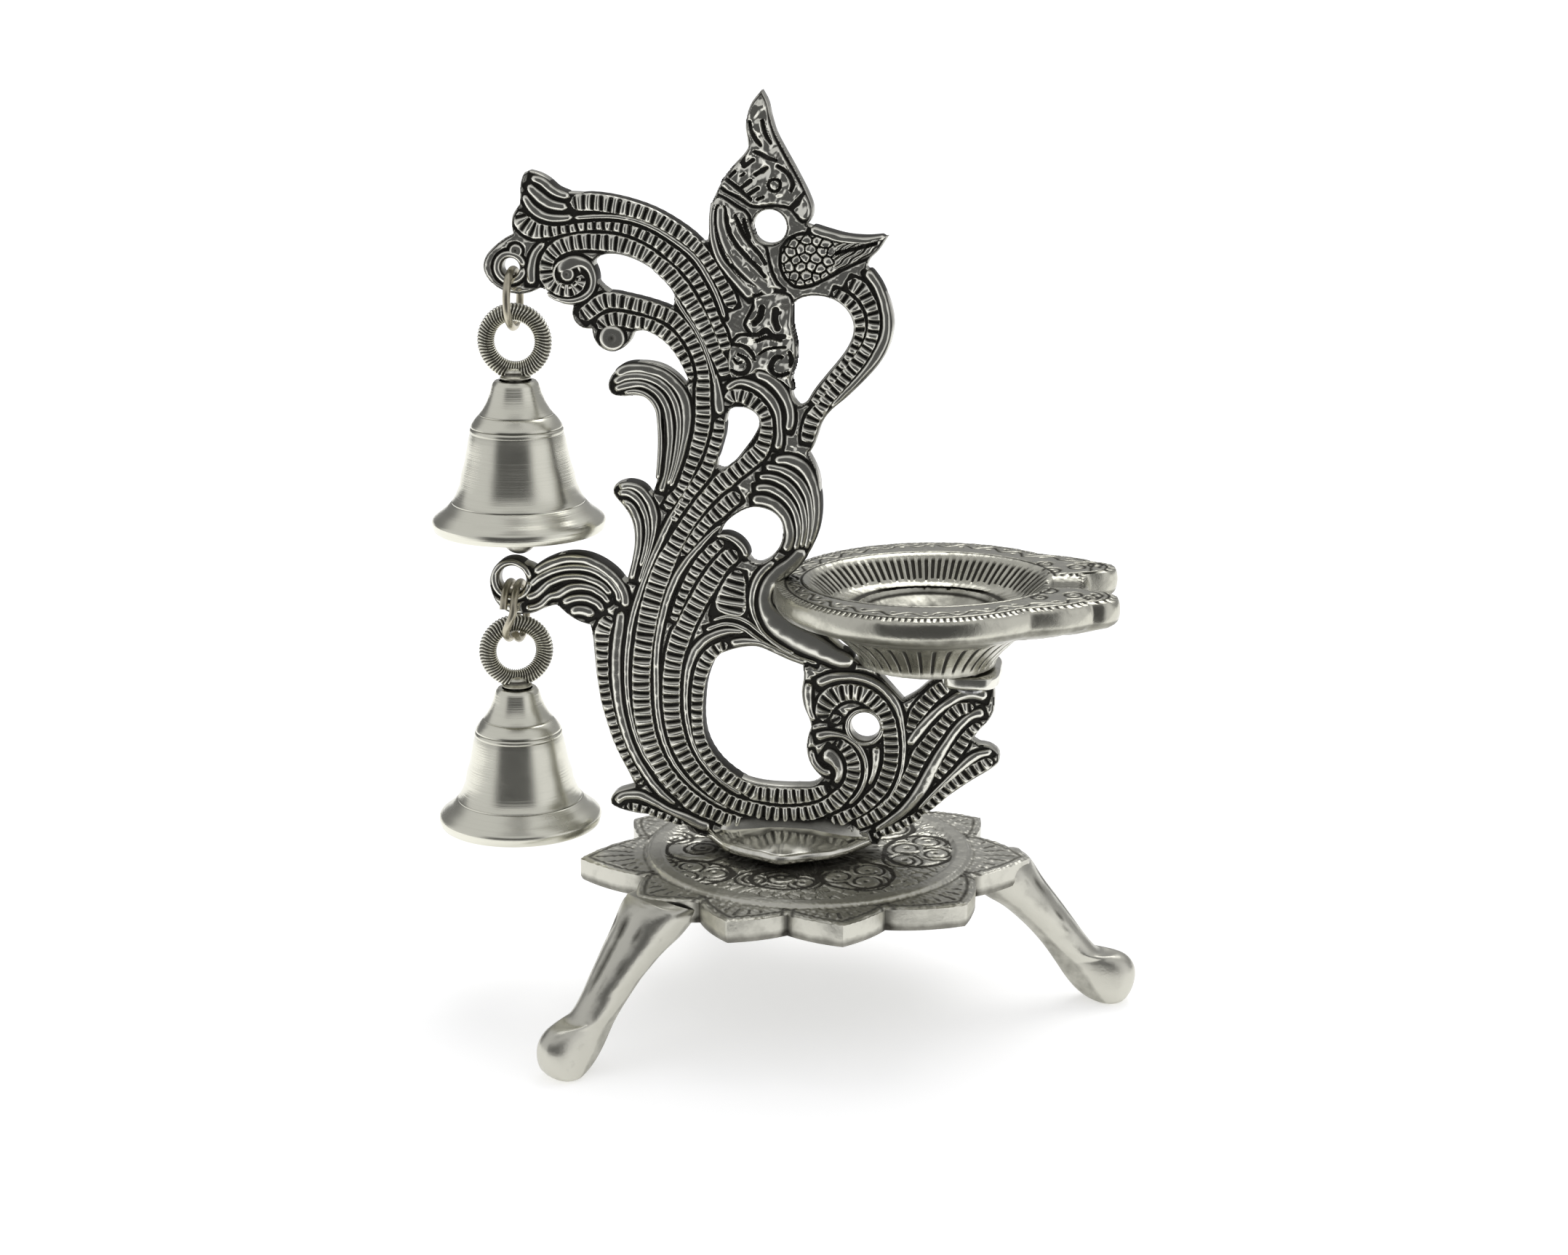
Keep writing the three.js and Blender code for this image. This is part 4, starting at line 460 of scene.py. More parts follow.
# Fronds with rungs: (x, z, half width) along the middle line
LADDERS = [
    [(-40.5, 158.9, 1.5), (-37, 159, 1.7), (-33, 158.6, 1.7), (-29, 157.8, 1.6), (-25, 156.5, 1.5), (-21, 154.4, 1.45),
     (-17.5, 152, 1.35), (-14.8, 149.2, 1.25), (-12.7, 146, 1.2), (-11, 142.8, 1.15), (-9.7, 139.3, 1)],
    [(-50.6, 156.9, 1), (-49.6, 155.1, 1.4), (-47.6, 153.7, 1.4), (-45, 153.3, 1.1), (-42, 153.7, .85),
     (-38, 154.3, .8), (-34, 154.6, .75), (-30, 154.2, .85), (-26, 152.8, .9), (-22.5, 150.7, .95),
     (-19.5, 148.4, 1), (-17, 145.4, 1), (-15, 142, 1), (-13.4, 138.2, .95), (-12, 134.5, .9), (-10.8, 130.8, .8)],
    [(-38.4, 145.2, .8), (-38.8, 143.4, .9), (-40.5, 142, 1), (-43, 142.2, 1.1), (-45, 143.9, 1.1),
     (-45.6, 146.5, 1.15), (-44.6, 149.2, 1.2), (-42, 151, 1.3), (-38, 151.8, 1.4), (-34, 151.6, 1.35),
     (-31, 151.2, 1.35), (-28, 150.1, 1.35), (-25.5, 148.7, 1.35), (-23.5, 147, 1.4), (-21.3, 145, 1.45),
     (-19.3, 142.8, 1.6), (-17.6, 140.4, 1.6), (-15.6, 137, 1.6), (-14.4, 134.6, 1.5), (-13.4, 132.3, 1.4),
     (-12.3, 129.8, 1.3), (-11.5, 127.6, 1.1), (-11, 126, .9)],
    [(-39, 137, 1.2), (-37, 138.6, 1.5), (-35, 140, 1.6), (-33, 140.7, 1.4), (-30, 140.3, 1.3), (-27, 139.7, 1.25),
     (-24, 138.9, 1.2), (-21.5, 137.9, 1.2), (-19.6, 136.4, 1.2), (-18, 134.3, 1.2), (-16.8, 132, 1.2),
     (-15.9, 129.8, 1.2), (-15.3, 127.3, 1.25), (-15.1, 124.3, 1.3), (-15.1, 121.3, 1.3), (-15.2, 118.3, 1.3),
     (-15.5, 115.5, 1.3), (-16.3, 112.5, 1.25), (-17.4, 109.8, 1.2), (-18.4, 107.2, 1.1), (-19.6, 104.7, 1),
     (-21.2, 102.3, .9), (-22.6, 100, .7)],
    [(-35.6, 135.2, 1.1), (-34.3, 136.7, 1.1), (-32, 137.1, 1.05), (-29, 136.6, 1.05), (-26, 135.8, 1.05),
     (-23.5, 134.6, 1.05), (-21.3, 132.8, 1.05), (-19.5, 130.5, 1.05), (-18.3, 128, .9), (-17.5, 125.5, .6)],
    [(-12, 118.4, 1), (-12.4, 115.5, 1.2), (-13.1, 113, 1.25), (-13.8, 110.8, 1.25), (-14.8, 108.5, 1.25),
     (-16.2, 106.2, 1.2), (-17.8, 104, 1.1), (-19.3, 101.8, 1), (-20.8, 99.5, .8), (-22, 97.3, .6)],
    [(-11.3, 121, .8), (-9.7, 122.9, 1.1), (-7.3, 122.8, 1.2), (-5, 121.4, 1.2), (-3.5, 119.2, 1.15),
     (-2.9, 116.6, 1.1), (-3.2, 114.2, 1.15), (-4.5, 112, 1.2), (-6.6, 110.2, 1.3), (-9.2, 108.2, 1.4),
     (-11.8, 105.8, 1.45), (-14.2, 103.2, 1.45), (-16.6, 100.2, 1.4), (-18.6, 97.2, 1.3), (-20.6, 94, 1.5),
     (-22.5, 90.7, 1.9), (-24, 87.2, 2.1), (-25.4, 83.2, 2.1), (-26.5, 79, 2.1), (-27.3, 74.5, 2), (-27.9, 70, 2),
     (-28.2, 65.5, 1.95), (-28.2, 61, 1.95), (-27.8, 56.8, 1.9), (-26.8, 52.8, 1.85), (-25.3, 49.3, 1.8),
     (-22.9, 45.3, 1.8), (-20.1, 42.4, 1.75), (-17.3, 40.3, 1.6), (-14, 38.6, 1.4), (-10.5, 37.3, 1.2),
     (-7, 36.6, 1)],
    [(-8.3, 103.5, .9), (-10.3, 102.3, 1.2), (-12.3, 100.5, 1.25), (-14.3, 98.4, 1.25), (-16.3, 95.9, 1.2),
     (-18.2, 93.3, 1), (-19.9, 91, .6)],
    [(-11.8, 94.3, .9), (-13.8, 92.3, .9), (-15.8, 89.8, .9), (-17.5, 87, .9), (-19, 84, .8), (-20.3, 80.8, .7),
     (-21.5, 77.5, .5)],
    [(-9.2, 92.4, 1.2), (-11.2, 90.3, 1.5), (-13.4, 87.5, 1.6), (-15.5, 84.5, 1.6), (-17.3, 81.3, 1.6),
     (-19, 78, 1.6), (-20.3, 74.5, 1.6), (-21.2, 71, 1.6), (-21.8, 67, 1.6), (-22, 63, 1.6), (-21.9, 59, 1.5),
     (-21.3, 55.3, 1.5), (-20.3, 52, 1.5), (-18.7, 48.8, 1.5), (-16.6, 45.8, 1.45), (-14, 43.2, 1.4),
     (-10.9, 41.1, 1.3), (-7.3, 39.8, 1.25), (-3.3, 39.2, 1.25), (.8, 39, 1.25), (4.6, 39.4, 1.25), (8, 40.5, 1.3),
     (11, 42.3, 1.4), (13, 44.8, 1.4), (14, 47.8, 1.4), (13.9, 50.8, 1.35), (12.6, 53.2, 1.2), (10.7, 54.4, 1)],
    [(-10.8, 73.3, .6), (-12.6, 72.4, .9), (-14.3, 70.9, 1.15), (-15.7, 68.3, 1.25), (-16.6, 65.1, 1.25),
     (-17, 61.5, 1.25), (-17.1, 57.7, 1.25), (-16.6, 54.2, 1.25), (-15.3, 51, 1.3), (-13.2, 48.2, 1.3),
     (-10.5, 45.9, 1.3), (-7.3, 44, 1.35), (-3.7, 43, 1.35), (0, 42.7, 1.4), (3.7, 43, 1.3), (6.8, 43.6, 1),
     (9.2, 44.9, .5)],
    [(-8.8, 88.5, 1.1), (-9.4, 86, 1.8), (-9.9, 83.5, 2.3), (-10.3, 81, 2.8), (-10.6, 78.8, 3.2)],
    [(9.5, 142.6, .7), (11.8, 141.8, .9), (13.8, 139.8, 1), (14.8, 137.2, 1), (14.6, 134.5, .9), (13.3, 131.8, .8),
     (11.6, 129, .8), (9.7, 126.3, .7), (7.7, 123.6, .7), (5.9, 121, .6)],
    [(12.3, 144.7, 1), (14.6, 143.3, 1.3), (16.4, 141.1, 1.3), (17.3, 138.4, 1.25), (17.2, 135.5, 1.25),
     (16.2, 132.6, 1.3), (14.4, 129.8, 1.4), (12.2, 127, 1.4), (9.9, 124.2, 1.4), (7.7, 121.5, 1.3),
     (6.1, 118.8, 1.2), (5.2, 116, 1.1), (4.8, 113.6, .8)],
    [(-34.2, 78.3, 1.2), (-35.5, 75, 1.4), (-35.9, 71.5, 1.4), (-35.9, 68, 1.3), (-35.7, 64.3, 1.2),
     (-35.1, 60.5, 1.2), (-34.2, 56.8, 1.1), (-33, 53, 1.1), (-31.5, 49.5, 1), (-29.8, 46.5, .8), (-28, 44, .6)],
    [(-31.5, 38.9, .6), (-28.5, 38.8, .8), (-25.5, 37.9, .8), (-22.5, 36.9, .8), (-20, 36, .6)],
    [(10.8, 58.2, 1.1), (9.8, 59.9, .8)],
    [(8, 58.7, 1.5), (8, 61, 1.6), (9.5, 63.3, 1.5), (12, 64.7, 1.45), (14.8, 64.8, 1.4), (17.5, 63.7, 1.4),
     (19.6, 61.7, 1.35), (21, 59, 1.3), (21.6, 56, 1.3), (21.8, 52.8, 1.3), (21.5, 49.8, 1.3), (20.6, 47, 1.3),
     (19.2, 44.5, 1.3), (17.3, 42.2, 1.3), (15, 40.3, 1.2), (12.3, 38.9, 1.1), (9.5, 37.9, .9)],
    [(24.8, 57, .9), (25.8, 59.3, 1.1), (27.3, 61.6, 1.3), (29, 63.8, 1.3), (31, 65.8, 1.2), (33, 67, .9)],
    [(37.5, 62.7, 1.1), (34.5, 62, 1.4), (32.3, 59.8, 1.3), (30.3, 57, 1.3), (28.3, 54.1, 1.3), (26.6, 51.2, 1.3),
     (25.2, 48.3, 1.25), (23.8, 45.5, 1.2), (21.9, 42.9, 1.2), (19.5, 40.6, 1.15), (16.9, 38.8, 1),
     (14.2, 37.5, .8)],
    [(38.8, 59.2, .8), (36.8, 57.5, 1), (35, 55.2, 1), (33.4, 52.6, 1), (31.7, 50, .9), (30.2, 47.6, .7)],
    [(41.3, 52, 1.1), (38.8, 50.6, 1.2), (36, 48.6, 1.3), (33.3, 46.4, 1.2), (31, 44, 1.1), (29, 41.9, .9),
     (27.5, 40.6, .7)],
    [(27.5, 40.3, .8), (25.3, 38.9, .9), (22.8, 37.4, .9), (20.3, 36.2, .8), (18, 35.2, .6)],
]

# Plain round ridges
RIDGES = [
    [(5.2, 155, .5), (8.5, 153.9, .6), (12, 153.1, .55), (16, 152.9, .5), (19.3, 153.3, .4)],
    [(-40, 156, .45), (-35, 156.4, .45), (-30, 156.1, .45), (-25, 154.6, .45), (-20, 151.7, .45), (-16.5, 148.8, .45),
     (-14, 145, .45), (-12.2, 141.3, .4), (-10.9, 137.3, .35)],
    [(-45.5, 141.6, .4), (-43.5, 140.6, .5), (-41, 140.2, .6), (-38.5, 140.8, .7), (-36.8, 142.3, .7),
     (-36.3, 144.5, .75), (-36.9, 146.5, .8), (-38.5, 147.7, .8), (-40.6, 147.6, .9), (-42.2, 146.6, 1),
     (-41.8, 145.2, 1.3)],
    [(-48.3, 143, .5), (-48.1, 146, .5), (-47.3, 149, .5), (-45.5, 151.2, .5)],
    [(-48.3, 163.4, .6), (-46, 162.8, .9), (-43.5, 160.9, .9), (-40.5, 159.9, .7)],
    [(-48.8, 162.3, .7), (-47, 160.3, 1.1), (-44.5, 158.6, 1.1), (-41, 157.8, .8)],
    [(-49.5, 160.3, .6), (-48, 157.9, .8), (-45.3, 156.2, .8), (-42, 155.9, .8), (-40, 156.2, .6)],
    [(-20.7, 141.5, .5), (-19.2, 138.9, .45), (-17, 135.7, .45), (-15.2, 132.3, .45), (-13.9, 128.8, .45),
     (-13, 125.3, .5), (-12.4, 122, .6)],
    [(-13, 127, .4), (-12.6, 124, .8), (-12.2, 121, 1.1), (-12, 118.8, .9)],
    [(-11, 123.6, .5), (-8.5, 125.2, .6), (-5.5, 124.7, .7), (-2.8, 122.6, .7), (-1.1, 120, .65), (-.6, 117.2, .6),
     (-.7, 114.5, .6), (-1.3, 112.3, .5)],
    [(-5.5, 126.9, .4), (-2.5, 125.9, .5), (0, 123.8, .6), (1.2, 121.2, .6), (1.3, 118.5, .55), (.6, 116, .5)],
    [(-12, 97.3, .4), (-14.3, 95.3, .45), (-16.8, 92.8, .45), (-19, 90.3, .45), (-20.8, 87.7, .45),
     (-22.3, 84.5, .45), (-23.5, 81, .4), (-24.5, 77, .4), (-25.2, 73, .35), (-25.5, 69, .35), (-25.5, 65, .35),
     (-25.3, 60.5, .35), (-24.7, 56, .35), (-23.7, 52.3, .35), (-22.2, 49, .35), (-20, 46, .35), (-17.5, 43.5, .35),
     (-14.5, 41.3, .35), (-11, 39.5, .3)],
    [(-13.3, 95.1, .4), (-10.8, 95.2, .5), (-8.8, 94.2, .6), (-7.4, 92.5, .6), (-6.9, 90.8, .5)],
    [(-7.5, 76.3, .4), (-11, 76.4, .5), (-14.3, 75.2, .55), (-16.9, 72.7, .55), (-18.5, 69.5, .55),
     (-19.2, 65.5, .55), (-19.3, 61, .5), (-18.9, 57, .5), (-18, 53.2, .45), (-16.5, 50, .45), (-14.3, 47.2, .45),
     (-11.5, 44.8, .4), (-8, 42.7, .35)],
    [(-1.5, 90.3, .5), (-3.8, 88.2, .5), (-5.3, 85.3, .5), (-5.9, 82, .5), (-5.3, 78.8, .5), (-3.7, 76, .5),
     (-1, 73.8, .5), (2.5, 71.9, .5)],
    [(4.2, 93, 1.4), (2, 90.3, 1.5), (-1, 87.8, 1.7), (-3.1, 85, 1.5), (-3.4, 82, 1.6), (-1.8, 78.5, 2.2),
     (2, 75.5, 2.4), (6, 73.6, 2.3), (10.5, 72, 1.8), (14.2, 70.9, 1.2)],
    [(-14, 78.2, .4), (-10.5, 79.2, .45), (-7.3, 78.4, .45), (-4.5, 76.3, .45), (-1, 73.6, .45), (3, 71.5, .4),
     (7, 70.3, .35)],
    [(-15.3, 76, .4), (-11.5, 77.6, .5), (-8, 76.9, .5), (-5, 74.9, .5), (-1.5, 72.7, .5), (2.5, 71, .4)],
    [(-10.5, 73.6, .6), (-7.5, 74.4, .6), (-4.5, 74.2, .6), (-1.5, 72.9, .6), (2, 71.3, .6), (5, 70.5, .5)],
    [(-1.8, 110.2, .6), (1.5, 110.2, .9), (4.3, 108.5, 1), (6, 105.3, 1), (6.6, 101.5, .9), (6.3, 97.5, .8),
     (5.3, 94, .7)],
    [(-3.6, 108.9, .6), (-.5, 108.7, .8), (2.6, 107, .9), (4.7, 104, .9), (5.4, 100.3, .8), (5.3, 96.5, .7),
     (4.5, 93, .6)],
    [(-4.9, 107, .6), (-2, 107, .8), (1, 105.6, .9), (3.2, 102.8, .8), (4.2, 99.5, .8), (4.2, 96.2, .7),
     (3.6, 93.2, .6)],
    [(-5.6, 104.8, .7), (-3, 105, .9), (-.3, 103.8, .9), (1.9, 101.5, .8), (3, 98.5, .8), (3.1, 95.5, .7),
     (2.4, 92.7, .7)],
    [(-6.2, 102.7, .6), (-4, 102.9, .8), (-1.4, 102, .8), (.7, 99.9, .7), (1.7, 97.2, .7), (1.7, 94.5, .7),
     (.8, 92.2, .7)],
    [(-13.1, 159.5, .5), (-13.4, 156, .6), (-13.1, 152, .7), (-12, 148.6, .7), (-10, 145.9, .7), (-7.8, 143.7, .6),
     (-5.5, 141.6, .5)],
    [(-12, 159, .5), (-12.1, 155.5, .6), (-11.2, 152, .7), (-9.5, 149, .7), (-7, 146.5, .7), (-4.3, 144.2, .7),
     (-1.7, 142.1, .6)],
    [(16, 147.3, .6), (17.9, 144.4, .8), (19.1, 141.3, .9), (19.7, 138, .9), (19.5, 134.9, .9), (18.3, 131.9, .9),
     (16.5, 129, .8), (14.2, 126.2, .7), (11.6, 123.4, .6), (9.2, 120.9, .5)],
    [(-32.4, 126.1, 1), (-30, 127.4, 1.1), (-26.5, 127.5, 1.1), (-23.3, 126.5, 1), (-20.9, 124.5, .9),
     (-19.4, 122, .8), (-18.9, 118.5, .7), (-19.1, 115, .6), (-19.7, 111.5, .6), (-20.7, 108, .5), (-22, 104.5, .5)],
    [(-32.9, 124.6, .8), (-30.3, 125.8, .9), (-27, 126, .9), (-24, 125, .9), (-21.8, 123, .8), (-20.5, 120, .8),
     (-20.1, 116.5, .7), (-20.5, 112.5, .7), (-21.3, 108.5, .6), (-22.5, 104.8, .5)],
    [(-32.8, 123.3, .7), (-30, 124.3, .9), (-27.3, 124.5, .8), (-24.7, 123.4, .8), (-22.9, 121.2, .8),
     (-22, 118.3, .8), (-21.7, 114.8, .7), (-22.1, 110.8, .7), (-22.8, 106.8, .6), (-23.8, 103.3, .5)],
    [(-31, 122.8, .5), (-28.3, 123.1, .6), (-26, 122.2, .6), (-24.3, 120, .6), (-23.9, 117, .5), (-23.8, 113.5, .5),
     (-24, 109.5, .5), (-24.4, 105.8, .5)],
    [(-32.3, 104.2, .8), (-30, 104.6, .8), (-27.8, 103.8, .9), (-26.3, 101.8, .8), (-25.5, 99, .7), (-25.3, 96, .6),
     (-26, 92.5, .5), (-27.3, 88.5, .45), (-28.3, 85, .4)],
    [(-32.5, 103, .7), (-30.3, 103.2, .9), (-28.3, 101.8, .8), (-26.9, 99, .7), (-26.5, 95.7, .6), (-27, 92, .6),
     (-28.1, 88.3, .5)],
    [(-31.6, 101.8, .5), (-29.8, 100.8, .7), (-28.4, 98.3, .7), (-28.1, 95, .7), (-28.5, 91.5, .7), (-29.4, 88, .6),
     (-30, 85.5, .5)],
    [(-19.3, 102.8, .4), (-21.5, 99, .6), (-23.5, 95, .7), (-25.3, 91, .7), (-27, 86.8, .6), (-28.5, 82.3, .6),
     (-29.8, 77.5, .5), (-30.6, 72.5, .45), (-31, 67.5, .4), (-30.9, 62.5, .4), (-30.3, 58, .4), (-29.3, 54, .4),
     (-27.7, 50.2, .4), (-25.6, 46.8, .4), (-23, 43.8, .4), (-20, 41.2, .4)],
    [(-32.2, 79.5, .7), (-32.6, 76, .9), (-33.2, 72, .9), (-33.4, 68, .9), (-33.3, 64, .9), (-32.9, 60, .85),
     (-32.1, 56, .8), (-30.9, 52.2, .75), (-29.2, 48.5, .7), (-27, 45.2, .65), (-24.3, 42.2, .6), (-21.5, 39.8, .5)],
    [(-49.5, 86.5, .9), (-46.5, 88.3, 1), (-42.8, 89.6, 1), (-39, 89.5, 1), (-35.5, 88, 1), (-32.8, 85.6, 1),
     (-31.3, 82.8, .9), (-31.3, 80, .8)],
    [(-50.5, 83.8, .6), (-48, 85.8, .8), (-45, 87.3, .8), (-41.5, 88, .8), (-38, 87.7, .8), (-34.9, 86, .8),
     (-32.8, 83.5, .7), (-32.2, 81, .6)],
    [(-51.2, 81.2, .5), (-48.8, 82.5, .7), (-46.3, 84.8, .7), (-43, 86, .8), (-39.5, 86, .8), (-36, 84.7, .8),
     (-33.8, 82.6, .7)],
    [(-51.5, 79.2, .5), (-48.5, 79.9, .6), (-46.3, 81.8, .6), (-44.5, 82.3, .8), (-41.8, 83.9, .9), (-38.5, 84, .8),
     (-35.7, 82.6, .7), (-34.3, 80.7, .6)],
    [(-44, 80.6, .8), (-41.5, 81.7, .9), (-38.6, 81.8, .9), (-36.3, 80.6, .7), (-35.5, 79, .5)],
    [(-42.5, 78.9, .7), (-40.5, 79.6, .9), (-38.3, 79.2, .8), (-37.5, 77.9, .7)],
    [(-34, 39.8, .7), (-32.3, 41.4, .8), (-29.5, 41.6, .8), (-26.5, 40.3, .7), (-23.5, 38.9, .7), (-20.5, 37.5, .7),
     (-17.5, 36.2, .7), (-14.5, 35.5, .6)],
    [(6.3, 55.2, .4), (9.2, 56, .45), (12.6, 55.3, .45), (15.2, 53.2, .45), (16.6, 50.2, .45), (16.5, 47, .45),
     (15.2, 44, .4), (13, 41.5, .4)],
    [(5.5, 52.7, .5), (6.3, 50, .7), (7.9, 48.3, .7), (9.8, 47.9, .6)],
    [(8, 52.3, 1.9), (10, 51, 1.5), (11.2, 49.2, 1), (11.2, 47.2, .7), (10.3, 45.6, .5)],
    [(5.2, 66.5, .8), (5, 63.5, .8), (5.4, 60.6, .7), (6.3, 58.3, .6)],
    [(6.5, 66, .5), (9.5, 67.3, .6), (13, 67.8, .6), (16.5, 67.3, .6), (19.5, 65.7, .6), (21.8, 63.1, .6),
     (23.2, 60.2, .55), (23.9, 56.5, .5), (24, 52.5, .45), (23.6, 49, .4), (22.6, 45.8, .4), (21, 43, .4),
     (18.8, 40.6, .35)],
    [(18.4, 54, .4), (18.3, 51, .45), (17.8, 48, .4), (16.9, 45.6, .35)],
    [(24.6, 54.3, .7), (26.8, 57.4, .9), (29.3, 60.4, .9), (32, 62.9, .9), (34.8, 64.6, .9), (37.8, 65.2, .9),
     (40.3, 64.8, .8)],
    [(39.6, 62, .9), (37.3, 61.1, .8), (35, 59, .9), (33, 56, .9), (31.2, 52.7, 1), (29.6, 49.3, 1.1), (28, 46, 1.1),
     (26, 42.8, 1), (23.5, 40, .8), (20.8, 37.8, .6), (18.5, 36.2, .4)],
    [(41.4, 53.8, .7), (39, 53, .7), (36.5, 51.1, .7), (33.8, 48.5, .6), (31.2, 45.9, .5), (28.8, 43.3, .5),
     (26.8, 41, .4)],
]
# Beads and bosses: centre, radius, how far they stand above the ground
BOSSES = [((-32.9, 133.3), 2.7, .75), ((-41.4, 145.3), 1.5, .65), ((-1.5, 162.6), .55, .72),
          ((-51.3, 149.6), 1.4, .6)]
# Round ridges: centre, radius of the middle line, half width
RINGS = [(SCROLL_EYE, 3.45, 0.5), (UPPER_HOOK, 2.6, 0.75), (LOWER_HOOK, 3.6, 0.7), ((-41.4, 145.3), 2.6, 0.35)]


def closed_outline(rows, step=0.9):
    """The rows of [x, z] points as one closed line, with a corner where two rows meet."""
    start = rows[-1][-1]
    line = []
    for row in rows:
        points = row if row[0] == start else [start, *row]
        smooth, _ = catmull(points, step) if len(points) > 2 else (np.asarray(points, float), None)
        line.extend(smooth[1:].tolist())
        start = row[-1]
    return np.asarray(line)


def ground_plate():
    """The flat ground of the casting with its windows, filled by a flat curve and turned into a mesh."""
    curve = bpy.data.curves.new("ground_outline", "CURVE")
    curve.dimensions = "2D"
    curve.fill_mode = "BOTH"
    rounding = 0.45
    curve.extrude = WEB_HALF - rounding
    curve.bevel_depth = rounding
    curve.bevel_resolution = 2
    curve.offset = -rounding
    loops = [closed_outline(OUTLINE)] + [closed_outline(rows) for rows in WINDOWS]
    turn = full_turn(40)
    for (x, z), radius in ROUND_HOLES:
        loops.append(np.stack([x + radius * np.cos(turn), z + radius * np.sin(turn)], axis=1))
    for loop in loops:
        spline = curve.splines.new("POLY")
        spline.points.add(len(loop) - 1)
        flat = np.zeros((len(loop), 4))
        flat[:, :2] = loop
        flat[:, 3] = 1
        spline.points.foreach_set("co", flat.ravel())
        spline.use_cyclic_u = True
    holder = bpy.data.objects.new("ground_outline", curve)
    bpy.context.scene.collection.objects.link(holder)
    shape = holder.evaluated_get(bpy.context.evaluated_depsgraph_get()).to_mesh()
    flat = np.zeros(len(shape.vertices) * 3)
    shape.vertices.foreach_get("co", flat)
    flat = flat.reshape(-1, 3)
    vertices = np.stack([flat[:, 0], -flat[:, 2], flat[:, 1]], axis=1)
    faces = [list(polygon.vertices) for polygon in shape.polygons]
    bpy.data.objects.remove(holder)
    edge = np.abs(vertices[:, 1]) < WEB_HALF - 0.02
    patina = np.where(edge, 0.35, 1.0)
    return vertices, faces, patina


class FrondMap:
    """Where the fronds lie on the casting, so that each can spread sideways until a thin groove is left."""

    CELL = 0.12
    GROOVE = 0.34
    STEP = 0.06
    LOW = np.array([-61.0, 30.0])
    SIZE = (1300, 920)

    def __init__(self, lines):
        self.owner = np.full(self.SIZE, -1, int)
        self.along = np.zeros(self.SIZE)
        self.covered = np.zeros(self.SIZE, bool)
        rows, columns = np.indices(self.SIZE)
        self.x = x = self.LOW[0] + columns * self.CELL
        self.z = z = self.LOW[1] + rows * self.CELL
        open_metal = inside_loop(x, z, closed_outline(OUTLINE, 1.5))
        for rows_of_window in WINDOWS:
            open_metal &= ~inside_loop(x, z, closed_outline(rows_of_window, 1.5))
        for (hole_x, hole_z), radius in ROUND_HOLES:
            open_metal &= np.hypot(x - hole_x, z - hole_z) > radius
        self.owner[open_metal] = 0
        for number, points in enumerate(lines, start=1):
            line, along = catmull(points, 0.1)
            side = across_direction(line)
            for share in np.linspace(-1, 1, 33):
                row, column = self.cell(line[:, :2] + side * (share * line[:, 2])[:, None])
                free = self.owner[row, column] == 0
                self.owner[row[free], column[free]] = number
                self.along[row[free], column[free]] = along[free]

    def cell(self, points):
        at = np.round((points - self.LOW) / self.CELL).astype(int)
        return np.clip(at[:, 1], 0, self.SIZE[0] - 1), np.clip(at[:, 0], 0, self.SIZE[1] - 1)

    def spread(self, number, line, along, hand, most):
        """How far a frond can grow towards one hand, at most halfway to the next frond, smoothed along it."""
        side = across_direction(line) * hand
        room = np.full(len(line), most * 2)
        hit_metal = np.zeros(len(line), bool)
        open_rows = np.ones(len(line), bool)
        for distance in np.arange(self.STEP, most * 2, self.STEP):
            row, column = self.cell(line[:, :2] + side * (line[:, 2] + distance)[:, None])
            owner = self.owner[row, column]
            itself = (owner == number) & (np.abs(self.along[row, column] - along) < 3.5 + line[:, 2])
            blocked = open_rows & (owner != 0) & ~itself
            room[blocked] = distance
            hit_metal[blocked] = owner[blocked] > 0
            open_rows &= ~blocked
        growth = np.where(hit_metal, (room - self.GROOVE) / 2, room - 0.3)
        growth = np.clip(growth, 0, most)
        padded = np.pad(growth, 3, mode="edge")
        least = np.min([padded[k:k + len(growth)] for k in range(7)], axis=0)
        padded = np.pad(least, 4, mode="edge")
        return np.mean([padded[k:k + len(growth)] for k in range(9)], axis=0)

    def cover(self, line):
        at = np.linspace(0, len(line) - 1, len(line) * 5)
        fine = np.stack([np.interp(at, np.arange(len(line)), line[:, k]) for k in range(3)], axis=1)
        side = across_direction(fine)
        for share in np.linspace(-1, 1, 41):
            row, column = self.cell(fine[:, :2] + side * (share * fine[:, 2])[:, None])
            self.covered[row, column] = True

    def cover_loop(self, loop):
        self.covered |= inside_loop(self.x, self.z, loop)

    def cover_disc(self, centre, radius):
        self.covered |= np.hypot(self.x - centre[0], self.z - centre[1]) < radius

    def filling(self):
        """Raised metal in every gap between the fronds that is wider than a groove."""
        away = np.where(self.covered | (self.owner < 0), 0.0, 9.0)
        for _ in range(14):
            for shift in ((1, 0), (-1, 0), (0, 1), (0, -1), (1, 1), (1, -1), (-1, 1), (-1, -1)):
                step = self.CELL * math.hypot(*shift)
                away = np.minimum(away, np.roll(away, shift, (0, 1)) + step)
        x, z, away = self.x[::2, ::2], self.z[::2, ::2], away[::2, ::2]
        rise = rounded_rise(away - 0.2, 0.8)
        height = WEB_HALF - SUNK + 0.75 * rise + 0.12 * rise * rough_noise(x, z, 0.0, 3.0, 41)
        patina = np.clip(1.05 - ease(away, 0.25, 0.75), 0, 1)
        return relief_sheet(x, z, height, away > 0.1, patina)


